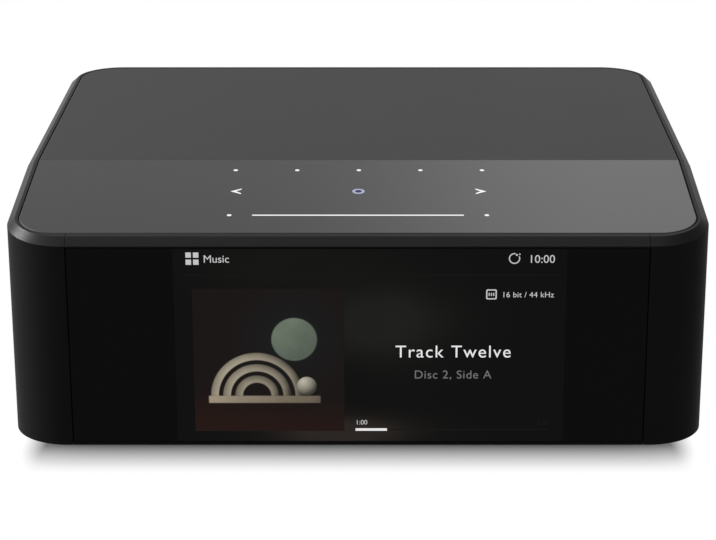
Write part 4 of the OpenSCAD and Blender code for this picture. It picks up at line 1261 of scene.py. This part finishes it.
class STREAMER_OT_stage(bpy.types.Operator):
    """Floor, soft light and camera of the studio"""

    bl_idname = "streamer.stage"
    bl_label = "Stage"

    def execute(self, context):
        stage = context.scene.streamer_stage
        scene = context.scene
        scene.view_settings.view_transform = "Standard"
        scene.world = white_world(scene.world or bpy.data.worlds.new("studio"), stage.ambient)

        focus()
        bpy.ops.mesh.primitive_plane_add(size=6, location=(0, 0, -0.05 * MM))
        floor = new_object("studio_floor")
        floor.data.materials.append(floor_finish())

        for name, at, size, lights_floor in LAMPS:
            bpy.ops.object.light_add(type="AREA", location=at)
            lamp = new_object("lamp_" + name)
            lamp.data.shape = "RECTANGLE"
            lamp.data.size, lamp.data.size_y = size
            lamp.data.energy = getattr(stage, name)
            lamp.rotation_euler = (LAMP_AIM - lamp.location).to_track_quat("-Z", "Y").to_euler()
            if not lights_floor:
                keep_off(lamp, floor)

        bpy.ops.object.camera_add(location=CAMERA_AT)
        camera = context.object
        camera.rotation_euler = (math.pi / 2 - stage.pitch, 0, 0)
        camera.data.sensor_width = 36
        camera.data.lens = stage.lens
        camera.data.shift_x = SHIFT_RIGHT / PHOTO_WIDTH
        camera.data.shift_y = SHIFT_UP / PHOTO_WIDTH
        camera.data.clip_start = 0.01
        scene.camera = camera
        return {"FINISHED"}


# Registration

OPERATORS = (
    STREAMER_OT_wrap, STREAMER_OT_bezel, STREAMER_OT_window, STREAMER_OT_touch_glass, STREAMER_OT_cover,
    STREAMER_OT_touch_marks, STREAMER_OT_screen, STREAMER_OT_feet, STREAMER_OT_base,
    STREAMER_OT_sockets, STREAMER_OT_inner, STREAMER_OT_stage,
)
GROUPS = {
    "streamer_casing": StreamerCasing,
    "streamer_finish": StreamerFinish,
    "streamer_screen": StreamerScreen,
    "streamer_stage": StreamerStage,
}


class STREAMER_PT_panel(bpy.types.Panel):
    """Lists the streamer's settings and the operators that build it"""

    bl_idname = "STREAMER_PT_panel"
    bl_label = "Streamer"
    bl_space_type = "VIEW_3D"
    bl_region_type = "UI"
    bl_category = "Streamer"

    def draw(self, context):
        for name in GROUPS:
            box = self.layout.box()
            group = getattr(context.scene, name)
            for key in group.__annotations__:
                box.prop(group, key)
        for operator in OPERATORS:
            self.layout.operator(operator.bl_idname)


def register():
    for group in GROUPS.values():
        bpy.utils.register_class(group)
    for name, group in GROUPS.items():
        setattr(bpy.types.Scene, name, bpy.props.PointerProperty(type=group))
    for item in (*OPERATORS, STREAMER_PT_panel):
        bpy.utils.register_class(item)


def unregister():
    for item in (STREAMER_PT_panel, *reversed(OPERATORS)):
        bpy.utils.unregister_class(item)
    for name, group in GROUPS.items():
        delattr(bpy.types.Scene, name)
        bpy.utils.unregister_class(group)


def main():
    register()
    for operator in OPERATORS:
        group, name = operator.bl_idname.split(".")
        getattr(getattr(bpy.ops, group), name)()


if __name__ == "__main__":
    main()
